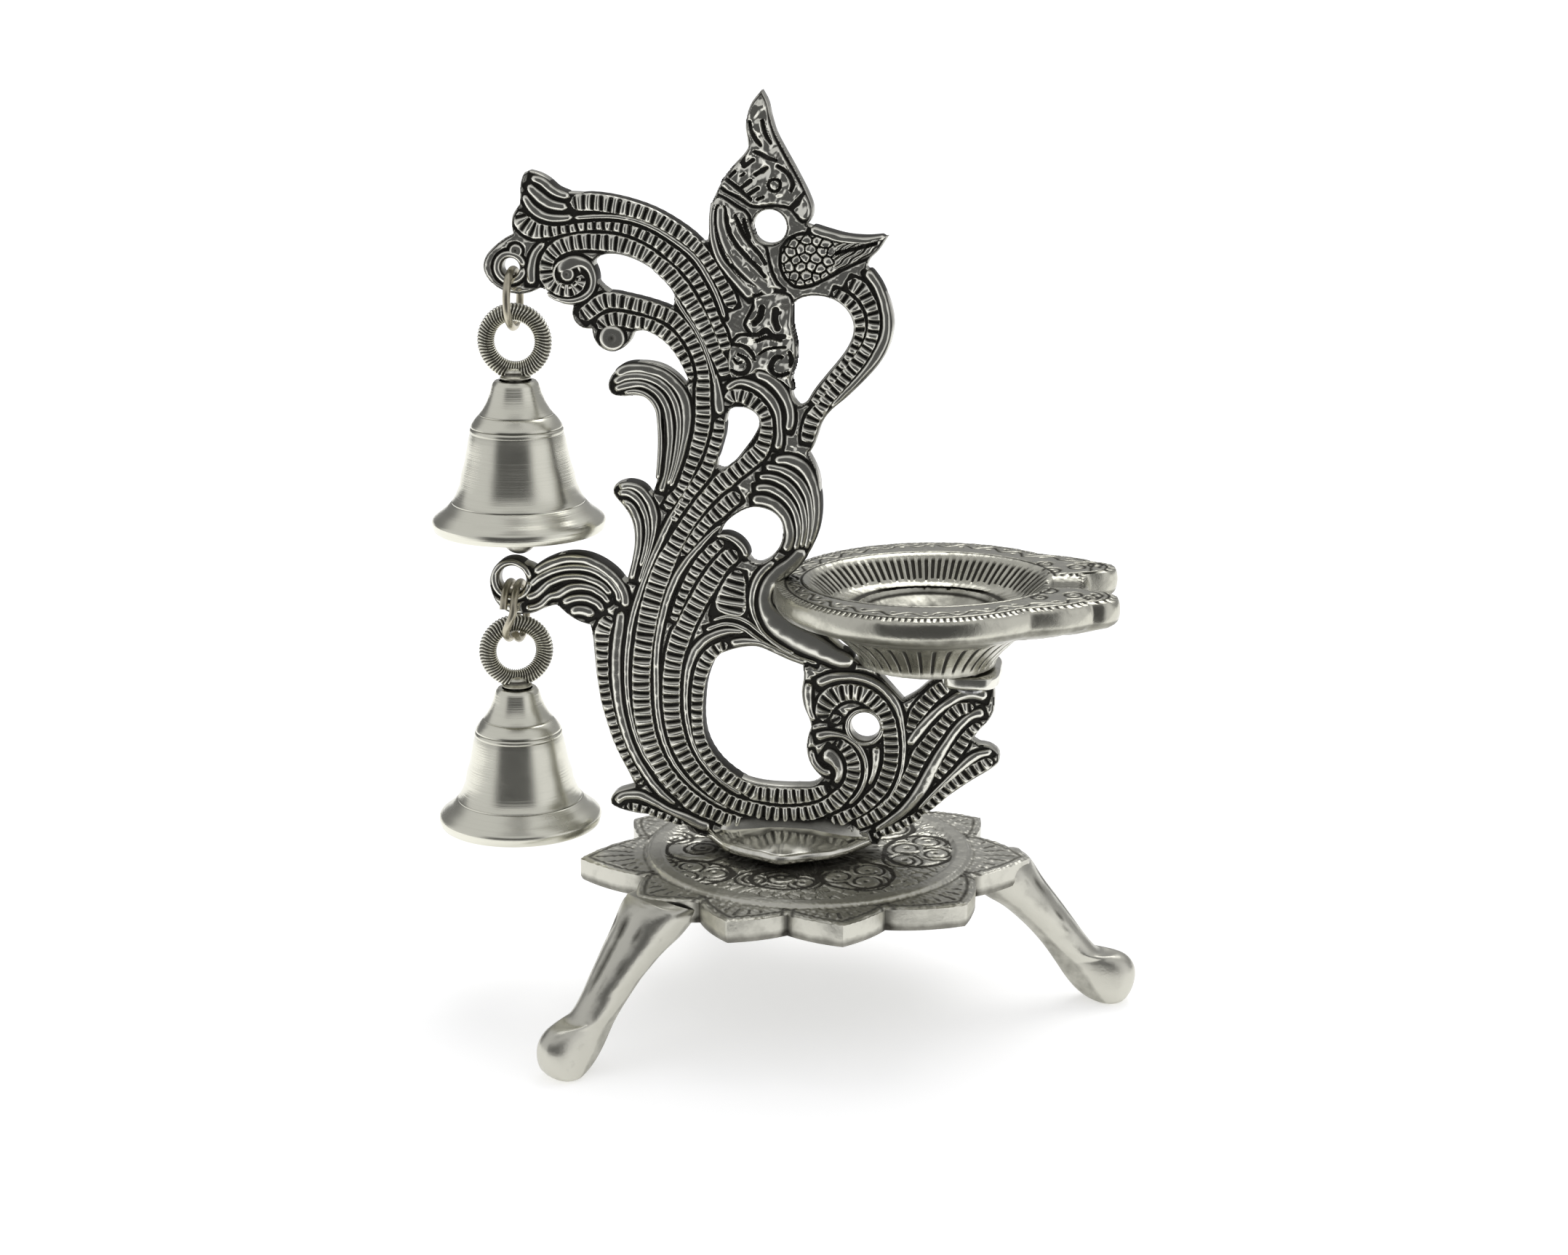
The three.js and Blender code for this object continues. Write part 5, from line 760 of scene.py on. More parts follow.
def across_direction(line):
    """The direction to the left of a line, at each of its points."""
    tangent = np.gradient(line[:, :2], axis=0)
    tangent /= np.maximum(np.linalg.norm(tangent, axis=1), 1e-9)[:, None]
    return np.stack([-tangent[:, 1], tangent[:, 0]], axis=1)


def frond(points, rungs, top=FROND_TOP, number=None, frond_map=None):
    """A raised frond along a middle line. With rungs it has cross notches, and otherwise it is a round ridge."""
    step = LADDER_PITCH / 8 if rungs else 0.5
    line, along = catmull(points, step)
    if frond_map:
        most = 0.55 if rungs else 0.7
        left = frond_map.spread(number, line, along, 1, most)
        right = frond_map.spread(number, line, along, -1, most)
        line[:, :2] += across_direction(line) * ((left - right) / 2)[:, None]
        line[:, 2] += (left + right) / 2
        frond_map.cover(line)
    width = line[:, 2].copy()
    side = across_direction(line)
    for distance in (along, along[-1] - along):
        tip = np.clip(distance / np.maximum(width, 0.2), 0, 1)
        width = width * np.sqrt(np.clip(1 - (1 - tip) ** 2, 0.02, 1))
    if rungs:
        across = np.array([-1, -0.985, -0.93, -0.84, -0.7, -0.4, 0, 0.4, 0.7, 0.84, 0.93, 0.985, 1])
    else:
        across = np.array([-1, -0.96, -0.8, -0.5, 0, 0.5, 0.8, 0.96, 1])
    u = across[None, :]
    full = np.minimum(1.0, width / 0.55)[:, None]
    if rungs:
        crown = top - 0.42 * np.abs(u) ** 2.0 - 0.25 * ease(np.abs(u), 0.86, 0.99)
        crown = crown + 0.1 * np.cos(2 * math.pi * (along / LADDER_PITCH)[:, None])
        rung = np.floor(along / LADDER_PITCH)
        uneven = np.sin(rung * 12.9898 + points[0][0]) * 43758.5453
        uneven = (uneven - np.floor(uneven))[:, None]
        lean = 0.1 * u * np.sin(rung[:, None] * 2.1 + points[0][1])
        phase = (along / LADDER_PITCH)[:, None] % 1 + 0.1 * (uneven - 0.5) + lean
        slit = np.exp(-(((phase - 0.5) / (0.15 + 0.07 * uneven)) ** 2))
        reach = 1 - ease(np.abs(u), 0.66 + 0.08 * uneven, 0.9)
        notch = slit * reach * (0.75 + 0.25 * np.roll(uneven, 5, axis=0))
        height = crown - NOTCH_DEPTH * notch * full
        patina = np.clip(1.25 * notch + 0.85 * ease(np.abs(u), 0.9, 1.0), 0, 1)
        patina = patina + 0.1 * (1 - notch) * (np.abs(u) < 0.8)
    else:
        rise = np.sqrt(np.clip(1 - (np.abs(u) * 0.97) ** 2, 0, 1))
        slender = np.minimum(1, 0.55 + 0.45 * width[:, None] / 0.8)
        height = (WEB_HALF - SUNK) + (top - WEB_HALF + 0.2) * rise * slender
        patina = np.clip(1.1 * ease(np.abs(u), 0.62, 0.97), 0, 1) * np.ones_like(height)
    ends = np.minimum(along, along[-1] - along)[:, None]
    height = np.where(np.abs(u) > 0.99, 0.0, height - 0.5 * (1 - ease(ends, 0, 0.9)))
    x = line[:, 0:1] + side[:, 0:1] * u * width[:, None]
    z = line[:, 1:2] + side[:, 1:2] * u * width[:, None]
    height = height + 0.06 * rough_noise(x, z, 0.0, 2.2, 3) * (np.abs(u) < 0.9)
    vertices = np.stack([x, -height, z], axis=-1).reshape(-1, 3)
    faces = grid_faces(len(line), len(across))
    return both_faces(vertices, faces, patina.reshape(-1))


def boss(centre, radius, rise):
    """A low round boss with a dimple in it."""
    levels = np.array([1.0, 0.97, 0.85, 0.65, 0.4, 0.2, 0.02])
    heights = np.array([-WEB_HALF, 0.1, 0.62, 0.92, 1.0, 0.86, 0.8])
    turn = full_turn(28)
    y = -np.where(heights < -1, 0, WEB_HALF + rise * heights)
    x = centre[0] + radius * levels[:, None] * np.cos(turn)
    z = centre[1] + radius * levels[:, None] * np.sin(turn)
    vertices = np.stack([x, np.broadcast_to(y[:, None], x.shape), z], axis=-1).reshape(-1, 3)
    patina = np.repeat([1, 0.9, 0.2, 0.0, 0.1, 0.6, 0.8], len(turn))
    return both_faces(vertices, grid_faces(len(levels), len(turn), wrap_columns=True), patina)


def ring_ridge(centre, radius, half):
    """A round ridge, a little higher than the fronds."""
    turn = np.linspace(0, 2 * math.pi, 30)
    points = [(centre[0] + radius * math.cos(a), centre[1] + radius * math.sin(a), half) for a in turn]
    return frond(points, False, FROND_TOP + 0.05)


def soft_bulges(x, z):
    """Low swellings that catch the light on the otherwise smooth head."""
    return 0.42 * rough_noise(x, z, 0.0, 4.4, 37), 0.0


def scales_and_barbs(x, z):
    """Small domed scales that turn into slanted barbs towards the wing's tip, as height and patina."""
    nearest = np.full(x.shape, 9.0)
    second = np.full(x.shape, 9.0)
    for row in range(8):
        for column in range(7):
            shake = math.sin(17.3 * row + 41.7 * column)
            seed_x = -1.6 + 2.0 * column + (row % 2) + 0.42 * shake
            seed_z = 142.6 + 1.6 * row + 0.42 * math.cos(29.1 * shake)
            away = np.hypot(x - seed_x, z - seed_z)
            second = np.minimum(second, np.maximum(nearest, away))
            nearest = np.minimum(nearest, away)
    rim = 1 - ease(second - nearest, 0.1, 0.36)
    dome = 0.36 * (1 - (nearest / 1.1) ** 2)
    barb = ((0.75 * x - 0.95 * z) / 1.15 + 0.15 * np.sin(3 * z)) % 1 - 0.5
    barbs = np.exp(-((barb / 0.17) ** 2))
    turn = ease(x, 9.2, 10.4)
    cut = rim * (1 - turn) + 0.9 * barbs * turn
    return dome * (1 - turn) + 0.2 * turn - 0.5 * cut, np.clip(0.95 * cut, 0, 1)


WING_LOOP = [(-.2, 150.8), (1.2, 152.6), (3.6, 153.6), (6.5, 153.4), (10, 152.4), (14, 152.4), (18.6, 153),
             (17.9, 151.1), (16.4, 149.6), (13.2, 148.1), (10, 146.4), (7.4, 145), (5, 144), (2.6, 143.8), (.9, 145),
             (-.3, 147.6)]
WING_LINES = [[(10.2, 150.2, .3), (13.5, 151, .3), (17.6, 152.1, .3)]]
HEAD_LOOP = [(-4, 179.3), (-3, 177.3), (-2.6, 174.8), (-1.7, 171.8), (-.3, 169), (1.6, 165.8), (3.3, 162.7),
             (4.7, 160.3), (5.4, 158), (4.9, 156.4), (3.7, 156), (2.4, 157.4), (1.3, 158.5), (-1, 158.9),
             (-3.8, 158.7), (-5.4, 158.6), (-8.5, 160.4), (-11.7, 162.4), (-10.3, 164.7), (-8.5, 166.8), (-6.6, 168.6),
             (-6.2, 170.5), (-6.7, 172.6), (-6.6, 175), (-5.7, 177.3)]
HEAD_LINES = [
    [(-6.1, 174.2, .3), (-5.5, 171.7, .4), (-4.1, 169.9, .3)],
    [(-3.8, 174.4, .3), (-3.2, 172, .4), (-2.2, 170.4, .3)],
    [(-5.2, 168.7, .3), (-3, 167.8, .45), (-1.2, 167.2, .3)],
    [(-.9, 166.1, .3), (.8, 165, .45), (1.9, 163, .45), (1.6, 161.6, .3)],
    [(-2.9, 165.8, .3), (-5.2, 164.5, .3)],
    [(-5.5, 167.2, .3), (-7.3, 166, .3)],
    [(-8.9, 165.1, .28), (-9.9, 164.1, .28)],
    [(-7.2, 164.7, .2), (-7.9, 164.2, .2)],
    [(-6, 163.4, .3), (-7.7, 162.1, .3)],
    [(-4.6, 162, .3), (-6.4, 160.9, .3)],
    [(-3.6, 160.4, .25), (-4.8, 159.9, .25)],
    [(-11, 163.9, .35), (-8.6, 162.1, .4), (-6, 159.9, .35)],
    [(4, 161.2, .3), (2.6, 159.4, .55), (1.4, 158.2, .4)],
]
HEAD_LINES.append([(-1.5 + 1.15 * math.cos(a), 162.6 + 1.15 * math.sin(a), .26) for a in np.linspace(0, 6.283, 13)])
NECK_LOOP = [(-12.5, 160.7), (-10.8, 159.9), (-8.4, 158.4), (-6.6, 157.2), (-6, 155), (-5, 152.4), (-3.2, 150.9),
             (-2.7, 148.6), (-2, 146.2), (-.9, 144.2), (.6, 142.9), (-2.4, 143.2), (-5.4, 142), (-7.2, 143.4),
             (-9.2, 146), (-11, 149.4), (-12.7, 152.8), (-13.6, 156.2), (-13.4, 158.8)]
NECK_LINES = [
    [(-12.2, 158.5, .35), (-12.5, 156.5, .4), (-12.2, 154, .4), (-11.2, 151.6, .4), (-9.6, 149, .35),
     (-7.8, 146.4, .3)],
    [(-11, 158.4, .3), (-10.8, 156, .4), (-10.1, 153.8, .4), (-8.6, 151.2, .4), (-6.8, 149.2, .4), (-5, 147.4, .35),
     (-3.4, 145.6, .3)],
    [(-8.9, 156.9, .3), (-8.2, 155, .4), (-7.3, 153.2, .4), (-5.8, 151.3, .4), (-4.3, 149.6, .35), (-3.3, 148, .3)],
    [(-7.3, 156.2, .3), (-6.9, 154.5, .4), (-6.3, 152.8, .35)],
    [(-9.6, 147.6, .3), (-7.4, 145.4, .35), (-5, 144, .3)],
]
CHEST_LOOP = [(-5.6, 141.6), (-2.6, 142.6), (1.4, 141.9), (1.7, 139.4), (1.7, 136.6), (2.4, 133.2), (2.5, 131),
              (2.2, 128.6), (1.5, 126.4), (1.9, 124), (0, 125), (-2, 126.5), (-4.2, 127.3), (-7, 126.5), (-10, 126.2),
              (-10.5, 128.4), (-10.3, 131.4), (-8.5, 134.2), (-6.2, 134.6), (-7.2, 136.4), (-6.4, 138), (-5.6, 139.6)]
CHEST_LINES = [
    [(-3.9, 139.7, .5), (-4.2, 138.1, .55), (-5.4, 136.7, .5)],
    [(-1.3, 139.2, .5), (-1.5, 137.4, .55), (-1, 135.8, .5)],
    [(-7.4, 134.8, .4), (-4.7, 134.6, .4), (-3.2, 135.4, .5), (-1.9, 134.4, .4), (.2, 134.2, .35)],
    [(-4.9, 133.4, .3), (-2.8, 134.1, .3), (-.4, 133.6, .3)],
    [(-9.7, 132.6, .3), (-7.6, 132.3, .3), (-5.9, 131, .35), (-5.3, 129.7, .2)],
    [(-8.5, 130.7, .25), (-7, 129.9, .35), (-6.5, 128.4, .4), (-7.1, 127.3, .4), (-8.5, 127, .35), (-9.7, 127.7, .3)],
    [(-9.3, 129.8, .2), (-8.7, 129, .2), (-8, 129.2, .2)],
    [(-4.5, 130.8, .15), (-3.2, 131.7, .2), (-1.4, 132.2, .2), (.5, 132.2, .2)],
    [(-.1, 130.4, .3), (-1.1, 130.3, .45), (-1.9, 129.4, .5), (-2.2, 128.4, .5), (-1.8, 127.4, .45), (-.5, 126.9, .4),
     (1.1, 127.4, .3)],
    [(1.4, 131.3, .35), (1.65, 130, .4), (1.5, 128.8, .3)],
    [(-4.2, 127.3, .25), (-2.5, 126.5, .35), (-.2, 125.4, .3), (1.4, 124.2, .25)],
]


def rounded_slab(loop, low, high, rounding, shade=0.1):
    """A flat slab with rounded edges over a closed loop of [x, y], from a low to a high z."""
    loop = np.asarray(loop, float)
    centre = loop.mean(axis=0)
    tangent = np.roll(loop, -1, axis=0) - np.roll(loop, 1, axis=0)
    tangent /= np.linalg.norm(tangent, axis=1)[:, None]
    normal = np.stack([tangent[:, 1], -tangent[:, 0]], axis=1)
    if np.sum(normal * (loop - centre)) < 0:
        normal = -normal
    quarter = np.linspace(0, math.pi / 2, 4)
    rings = []
    for angles, level, inwards in ((quarter, low, 1), (quarter[::-1], high, -1)):
        for angle in angles:
            flat = loop - normal * rounding * (1 - math.sin(angle))
            rings.append((flat, level + inwards * rounding * (1 - math.cos(angle))))
    shrink = [0.7, 0.4, 0.05]
    layers = [np.column_stack([centre + (loop - centre) * s, np.full(len(loop), low)]) for s in shrink[::-1]]
    layers += [np.column_stack([flat, np.full(len(loop), height)]) for flat, height in rings]
    layers += [np.column_stack([centre + (loop - centre) * s, np.full(len(loop), high)]) for s in shrink]
    vertices = np.vstack(layers)
    return vertices, grid_faces(len(layers), len(loop), wrap_columns=True, flip=True), np.full(len(vertices), shade)


FOOT_X = 1.2  # middle of the flange


def foot_of_casting():
    """The lobed flange, the block that runs up into the fronds and the boss that rests on the stand."""
    foot_bottom = node_bottom("peacock_frame")
    flange_bottom = foot_bottom + 1
    turn = full_turn(160)
    lobe = 1 + 0.02 * np.cos(8 * turn)
    kite_x, kite_y = squared_off(turn, 1.3)
    flange = np.stack([FOOT_X + 17 * lobe * kite_x, 15.2 * lobe * kite_y], axis=1)
    vertices, faces, patina = rounded_slab(flange, flange_bottom, flange_bottom + 2.1, 0.85)
    x, y = vertices[:, 0], vertices[:, 1]
    dome = 1.5 * (1 - ease(np.hypot((x - FOOT_X) / 16.6, y / 15), 0.1, 0.95))
    top = vertices[:, 2] > flange_bottom + 1.3
    vertices[:, 2] += top * (dome + 0.05 * rough_noise(x, y, 0.0, 5.0, 5))
    patina = patina + 0.1 * (rough_noise(x, y, 0.0, 9.0, 8) > 0.35)

    boss_loop = np.stack([FOOT_X + 6.5 * np.cos(turn), 6.5 * np.sin(turn)], axis=1)
    block = []
    block_low, block_high = flange_bottom + 0.6, 38.2
    across, along = squared_off(full_turn(64), 0.5)
    levels = np.linspace(0, 1, 12)
    for level in levels:
        height = block_low + (block_high - flange_bottom - 0.6) * level
        px = 1.7 + (15.6 - 3.4 * level ** 1.4) * across
        py = (4.4 - 2.2 * level ** 0.6) * along
        block.append(np.stack([px, py, height + 0.25 * np.sin(px * 0.9)], axis=1))
    block_patina = 0.15 + 0.7 * ease(np.repeat(levels, 64), 0.55, 1.0)
    return [
        (vertices, faces, patina),
        rounded_slab(boss_loop, foot_bottom, flange_bottom + 0.4, 0.2, 0.8),
        (np.vstack(block), grid_faces(len(levels), 64, wrap_columns=True, flip=True), block_patina),
    ]


def seat_pad():
    """The pad with rounded ends under the bowl."""
    gap, thickness = 0.3, 2.6
    low = node_bottom("oil_bowl") - gap - thickness
    across, along = squared_off(full_turn(96), 0.55)
    loop = np.stack([37 + 5.7 * across, 9.4 * along], axis=1)
    return rounded_slab(loop, low, low + thickness, 0.7, 0.12)


def build_peacock():
    """The ground, foot and seat pad, the smooth fields, and the fronds grown to the photo's narrow gaps."""
    parts = [ground_plate(), seat_pad(), *foot_of_casting()]
    parts += relief_patch(WING_LOOP, 0.55, WING_LINES, shape=scales_and_barbs, step=0.16)
    parts += relief_patch(HEAD_LOOP, 0.6, HEAD_LINES, shape=soft_bulges)
    parts += relief_patch(NECK_LOOP, 0.6, NECK_LINES, depth=0.75, shape=soft_bulges)
    parts += relief_patch(CHEST_LOOP, 0.6, CHEST_LINES, depth=0.8, step=0.16, shape=soft_bulges)
    fronds = LADDERS + RIDGES
    frond_map = FrondMap(fronds)
    for loop in (WING_LOOP, HEAD_LOOP, NECK_LOOP, CHEST_LOOP):
        frond_map.cover_loop(smooth_loop(loop))
    for number, points in enumerate(fronds, start=1):
        parts.extend(frond(points, number <= len(LADDERS), number=number, frond_map=frond_map))
    for centre, radius, rise in BOSSES:
        parts.extend(boss(centre, radius, rise))
        frond_map.cover_disc(centre, radius)
    for centre, radius, half in RINGS:
        parts.extend(ring_ridge(centre, radius, half))
        frond_map.cover_disc(centre, radius + half)
    parts.extend(frond_map.filling())
    mesh_piece("peacock_casting", joined(parts), oxidised, "lamp", ["peacock_frame"], sharp=50)


# Lotus stand
PLATE_CENTRE = 5.0
DISC_RADIUS = 32.0
NOTCH_RADIUS = 35.0
# Each petal's first direction in degrees and how far its tip reaches
PETALS = [(-16.6, 44), (22.8, 41), (52, 41), (83, 41), (114, 41), (144, 41), (174.6, 45.5), (211.9, 42),
          (241, 41.5), (270.8, 41), (302, 42)]
LEG_ANGLES = (6, 117, 228)
# A leg's upper and under edge as (distance from the plate's middle, height)
LEG_TOP = [(39, 30.6), (43.5, 30.6), (46.4, 26), (50, 21.3), (53.5, 16.5), (56.5, 12.4), (59, 10), (61.6, 10.1),
           (64, 9.4), (65.7, 7.2), (65.7, 4), (64.4, 1.2), (62, 0)]
LEG_UNDER = [(31, 27.5), (34.5, 23), (38, 21), (41, 18.5), (44.3, 15.2), (47, 12), (49.6, 8.2), (52.3, 4.2),
             (55.2, 1.3), (58.2, 0), (60, 0), (61, 0), (62, 0)]


def petal_at(turn):
    """For each direction in degrees: the petal's edge radius, the place across it from -1 to 1, and its middle."""
    starts = [start for start, _ in PETALS] + [PETALS[0][0] + 360]
    turn = (turn - starts[0]) % 360 + starts[0]
    index = np.clip(np.searchsorted(starts, turn, side="right") - 1, 0, len(PETALS) - 1)
    low = np.array(starts)[index]
    high = np.array(starts)[index + 1]
    reach = np.array([reach for _, reach in PETALS])[index]
    across = 2 * (turn - low) / (high - low) - 1
    from_side = (1 - np.abs(across)) / 2
    along = (np.sqrt(0.16 + 0.4 * from_side) - 0.4) / 0.2
    arch = 0.25 * along * (1.24 - 0.24 * along) + 1.5 * from_side
    return NOTCH_RADIUS + (reach - NOTCH_RADIUS) * arch, across, (low + high) / 2


# The plate's engraving: round cells as (x, y, half widths) and the spirals in them as (x, y, radius of the dot)
CELLS = [(-16, -3, 7.3, 7), (-16, -16.5, 8, 6.5), (2.5, -17.5, 6.5, 5.5), (16, -13.5, 7.3, 7.5), (27, 2, 7, 9),
         (17, 14.5, 7.5, 7), (2.5, 19.5, 6.5, 6), (-13.5, 12.5, 7.8, 8)]
DOTS = [(-16, -3, 1.4), (-22, -12.6, 1.8), (-16.7, -13.3, 1.7), (-16.5, -18.6, 2), (-11.3, -16.2, 1.7),
        (1.8, -17.4, 2), (-2.9, -18.5, 1.5), (6.3, -19, 1.4), (18, -10.6, 1.8), (12.6, -14.8, 1.8), (18.3, -16.7, 2),
        (24.4, 3, 2), (28.2, 7.6, 1.6), (30.2, .8, 1.6), (24.6, -4, 1.7), (14, 12, 1.8), (20, 14.5, 2),
        (16, 18, 1.6), (1, 18, 1.8), (5, 21.5, 1.6), (-15.5, 9.5, 1.8), (-10, 13, 1.9), (-15.5, 16, 1.7), (-22.5, 2.5, 1.3)]
SCROLL_PITCH = 1.5
# The strokes on each petal fan out from a point at this radius
FAN_ROOT, FAN_STROKES = 28.5, 22
PETAL_HALF = np.radians(16)  # about half of the angle that a petal takes


def disc_engraving(x, y, radius):
    """Depth of the scrolls cut into the round middle of the plate, from 0 to 1."""
    cut = np.zeros_like(x)
    x = x + PLATE_CENTRE
    taken = np.zeros(x.shape, bool)
    for cx, cy, wide, deep in CELLS:
        away = np.hypot((x - cx) / wide, (y - cy) / deep) * min(wide, deep)
        cut = np.maximum(cut, bump_at(away, min(wide, deep), 0.6) * ~taken)
        taken |= away < min(wide, deep)
    closest = np.min([np.hypot(x - cx, y - cy) - ball for cx, cy, ball in DOTS], axis=0)
    for number, (cx, cy, ball) in enumerate(DOTS):
        rho = np.hypot(x - cx, y - cy)
        own = rho - ball <= closest
        phi = np.arctan2(y - cy, x - cx) * (1 if number % 2 else -1)
        wound = rho - SCROLL_PITCH * ((phi / (2 * math.pi) + 0.37 * number) % 1)
        for ring in (ball, ball + SCROLL_PITCH):
            cut = np.maximum(cut, bump_at(wound, ring, 0.42) * (rho > ball - 0.5) * own)
        cut = np.maximum(cut, 0.8 * bump_at(rho, 0.3, 0.35))
    leaf = np.sin(1.15 * x + 1.3 * np.sin(0.9 * y)) * np.sin(1.05 * y + 1.2 * np.sin(0.8 * x + 1))
    cut = np.maximum(cut, 0.65 * np.exp(-((leaf / 0.12) ** 2)) * ~taken)
    return cut * (1 - ease(radius, 28.4, 28.9))


def build_stand():
    """The engraved plate as rings from its middle outwards and back underneath, and the three legs."""
    high = node_top("lotus_stand")
    top = high - 0.7
    turn = np.linspace(0, 360, 900, endpoint=False)
    edge, across, middle = petal_at(turn)
    inner = np.concatenate([np.linspace(0.2, 13.5, 14), np.linspace(13.9, 32.6, 60)])
    outer = np.linspace(0, 1, 34)[1:]
    radius = np.vstack([np.repeat(inner[:, None], len(turn), axis=1),
                        inner[-1] + (edge[None, :] - inner[-1]) * outer[:, None]])
    x = radius * np.cos(np.radians(turn))
    y = radius * np.sin(np.radians(turn))
    band = ease(radius, 29.0, 29.5) * (1 - ease(radius, DISC_RADIUS - 0.5, DISC_RADIUS + 0.2))
    floor_level = (1 - ease(radius, DISC_RADIUS - 0.2, DISC_RADIUS + 0.5)) * 0.35
    cut = disc_engraving(x, y, radius)
    inset = edge[None, :] - radius
    petal = ease(radius, DISC_RADIUS + 0.5, DISC_RADIUS + 1.2)
    border = bump_at(inset, 1.8, 0.5) * petal
    side_gap = (1 - np.abs(across[None, :])) * PETAL_HALF * radius
    border = np.maximum(border, bump_at(side_gap, 1.0, 0.45) * petal)
    offset = np.radians(turn - middle)[None, :]
    fan_angle = np.arctan2(radius * np.sin(offset), radius * np.cos(offset) - FAN_ROOT)
    spokes = np.cos(fan_angle * FAN_STROKES)
    fan = ease(spokes, 0.45, 0.8) * petal * ease(inset, 2.6, 3.1) * ease(side_gap, 1.2, 1.7)
    fan *= ease(radius, 34.5, 35.2)
    ring_cut = bump_at(radius, DISC_RADIUS + 0.9, 0.4)
    engraved = np.clip(0.45 * cut + 0.5 * border + 0.45 * fan + 0.3 * ring_cut, 0, 1)
    from_foot = np.hypot((x + 3.8) / 19.5, y / 14.5) + 0.06 * np.sin(9 * np.radians(turn))
    # Under the peacock's foot the plate rises into a flat pad, and the patina below darkens that pad as painted shade
    # from the foot
    foot_pad_and_shade = 0.45 * (1 - ease(from_foot, 0.9, 1.05))
    grain = 0.05 * rough_noise(x, y, 0.0, 3.0, 11)
    height = top + floor_level + 0.35 * band - engraved + grain
    height = np.maximum(height, top + foot_pad_and_shade + grain * 2)
    height = np.minimum(height, high)
    rim = ease(inset, 0.0, 0.7)
    height = height - 0.3 * (1 - rim)
    # The engraving is dark with patina; the 0.5 added on the pad under the foot is painted shade
    patina = np.clip(0.9 * ease(cut, 0.3, 0.8) + 0.65 * border + 0.6 * fan + 0.4 * ring_cut
                     + 0.5 * (foot_pad_and_shade > 0.25), 0, 1)
    rows = [np.stack(columns, axis=1) for columns in zip(x, y, height)]
    shades = list(patina)
    notch = 0.45 * ease(np.abs(across), 0.85, 1.0)
    wall = ((1.0, 0.5), (1.0, 1.6), (1.0, 2.8), (1.0, 3.9), (0.992, 4.6), (0.975, 4.8), (0.9, 4.8), (0.86, 4.0),
            (0.6, 4.0), (0.02, 4.0))
    for share, drop in wall:
        ring = np.stack([edge * share * np.cos(np.radians(turn)), edge * share * np.sin(np.radians(turn)),
                         np.full(len(turn), top - drop)], axis=1)
        ring[:, 2] += 0.1 * rough_noise(ring[:, 0], ring[:, 1], drop, 4.0, 13) * (drop < 3.5)
        rows.append(ring)
        shades.append(np.clip(notch + (0.12 if drop < 3.5 else 0.5), 0, 1))
    vertices = np.vstack(rows) + [PLATE_CENTRE, 0, 0]
    plate = (vertices, grid_faces(len(rows), len(turn), wrap_columns=True), np.concatenate(shades))
    parts = [plate] + [leg(angle) for angle in LEG_ANGLES]
    mesh_piece("lotus_stand_casting", joined(parts), stand_metal, "lamp", ["lotus_stand"], sharp=45)


def leg(angle):
    """One cast leg with its knob foot, lofted between its upper and its under edge."""
    stations = 110
    share = np.linspace(0, 1, stations)
    top, top_along = catmull(LEG_TOP, 0.4)
    under, under_along = catmull(LEG_UNDER, 0.4)
    marks_top = np.array([0, 4.5, 10, 16, 22, 27, 30.6, 33.2, 35.7, 38.6, 41.8, 44.9, top_along[-1]])
    marks_under = np.interp(np.linspace(0, 1, len(marks_top)), [0, 1], [0, under_along[-1]])
    at_top = np.interp(share, np.linspace(0, 1, len(marks_top)), marks_top * top_along[-1] / marks_top[-1])
    at_under = np.interp(share, np.linspace(0, 1, len(marks_top)), marks_under)
    upper = np.stack([np.interp(at_top, top_along, top[:, k]) for k in (0, 1)], axis=1)
    lower = np.stack([np.interp(at_under, under_along, under[:, k]) for k in (0, 1)], axis=1)
    kernel = np.hanning(17) / np.hanning(17).sum()
    for edge in (upper, lower):
        for k in (0, 1):
            edge[8:-8, k] = np.convolve(edge[:, k], kernel, mode="valid")
    middle = (upper + lower) / 2
    half = (upper - lower) / 2
    widths = np.interp(middle[:, 0], [30, 38, 43, 49, 56, 60, 63, 66], [7.6, 7.2, 5.7, 4.2, 3.5, 4.2, 4.5, 3.4])
    widths *= np.sqrt(np.clip(1 - ease(share, 0.9, 1.0) * 0.97, 0, 1))
    turn = full_turn(32)
    out, up = squared_off(turn, 0.85)
    reach = middle[:, 0:1] + half[:, 0:1] * up
    height = middle[:, 1:2] + half[:, 1:2] * up
    side = widths[:, None] * out * (1 + 0.02 * rough_noise(share[:, None] * 40, turn * 3, 0.0, 20.0, 17))
    lines = np.exp(-(((side / 1.9 + 0.5) % 1 - 0.5) / 0.11) ** 2) * (up > 0.55)
    lines = lines * ease(share, 0.1, 0.16)[:, None] * (1 - ease(share, 0.28, 0.4))[:, None]
    height = height - 0.2 * lines
    turn_z = math.radians(angle)
    x = PLATE_CENTRE + reach * math.cos(turn_z) - side * math.sin(turn_z)
    y = reach * math.sin(turn_z) + side * math.cos(turn_z)
    height = np.maximum(height, 0.0)
    vertices = np.stack([x, y, height], axis=-1).reshape(-1, 3)
    smear = rough_noise(x, y, height, 12.0, 19)
    patina = np.clip(0.65 * lines + 0.08 * ease(smear, 0.3, 0.95) + 0.3 * (up < -0.3), 0, 1)
    return vertices, grid_faces(stations, len(turn), wrap_columns=True), patina.reshape(-1)


# Oil bowl. The mouth is an oval of two half widths, and the curls on the spout are (x, y, radius)
BOWL_X = 28.2
RIM_RADIUS = 30
MOUTH = (24, 19.6)
TROUGH_DEPTH = 0.9
CUP_FLUTES, WALL_FLUTES, RIM_STROKES, VINE_WAVES = 42, 84, 150, 26
RIM_LIFT, RIM_TILT_X, RIM_TILT_Y = 0.6, 0.02, 0.024
SPOUT_CURLS = [(51.5, 7.5, 1.7), (56.3, 10.2, 1.6), (50, 12.3, 1.4), (59.8, 12, 1.3)]


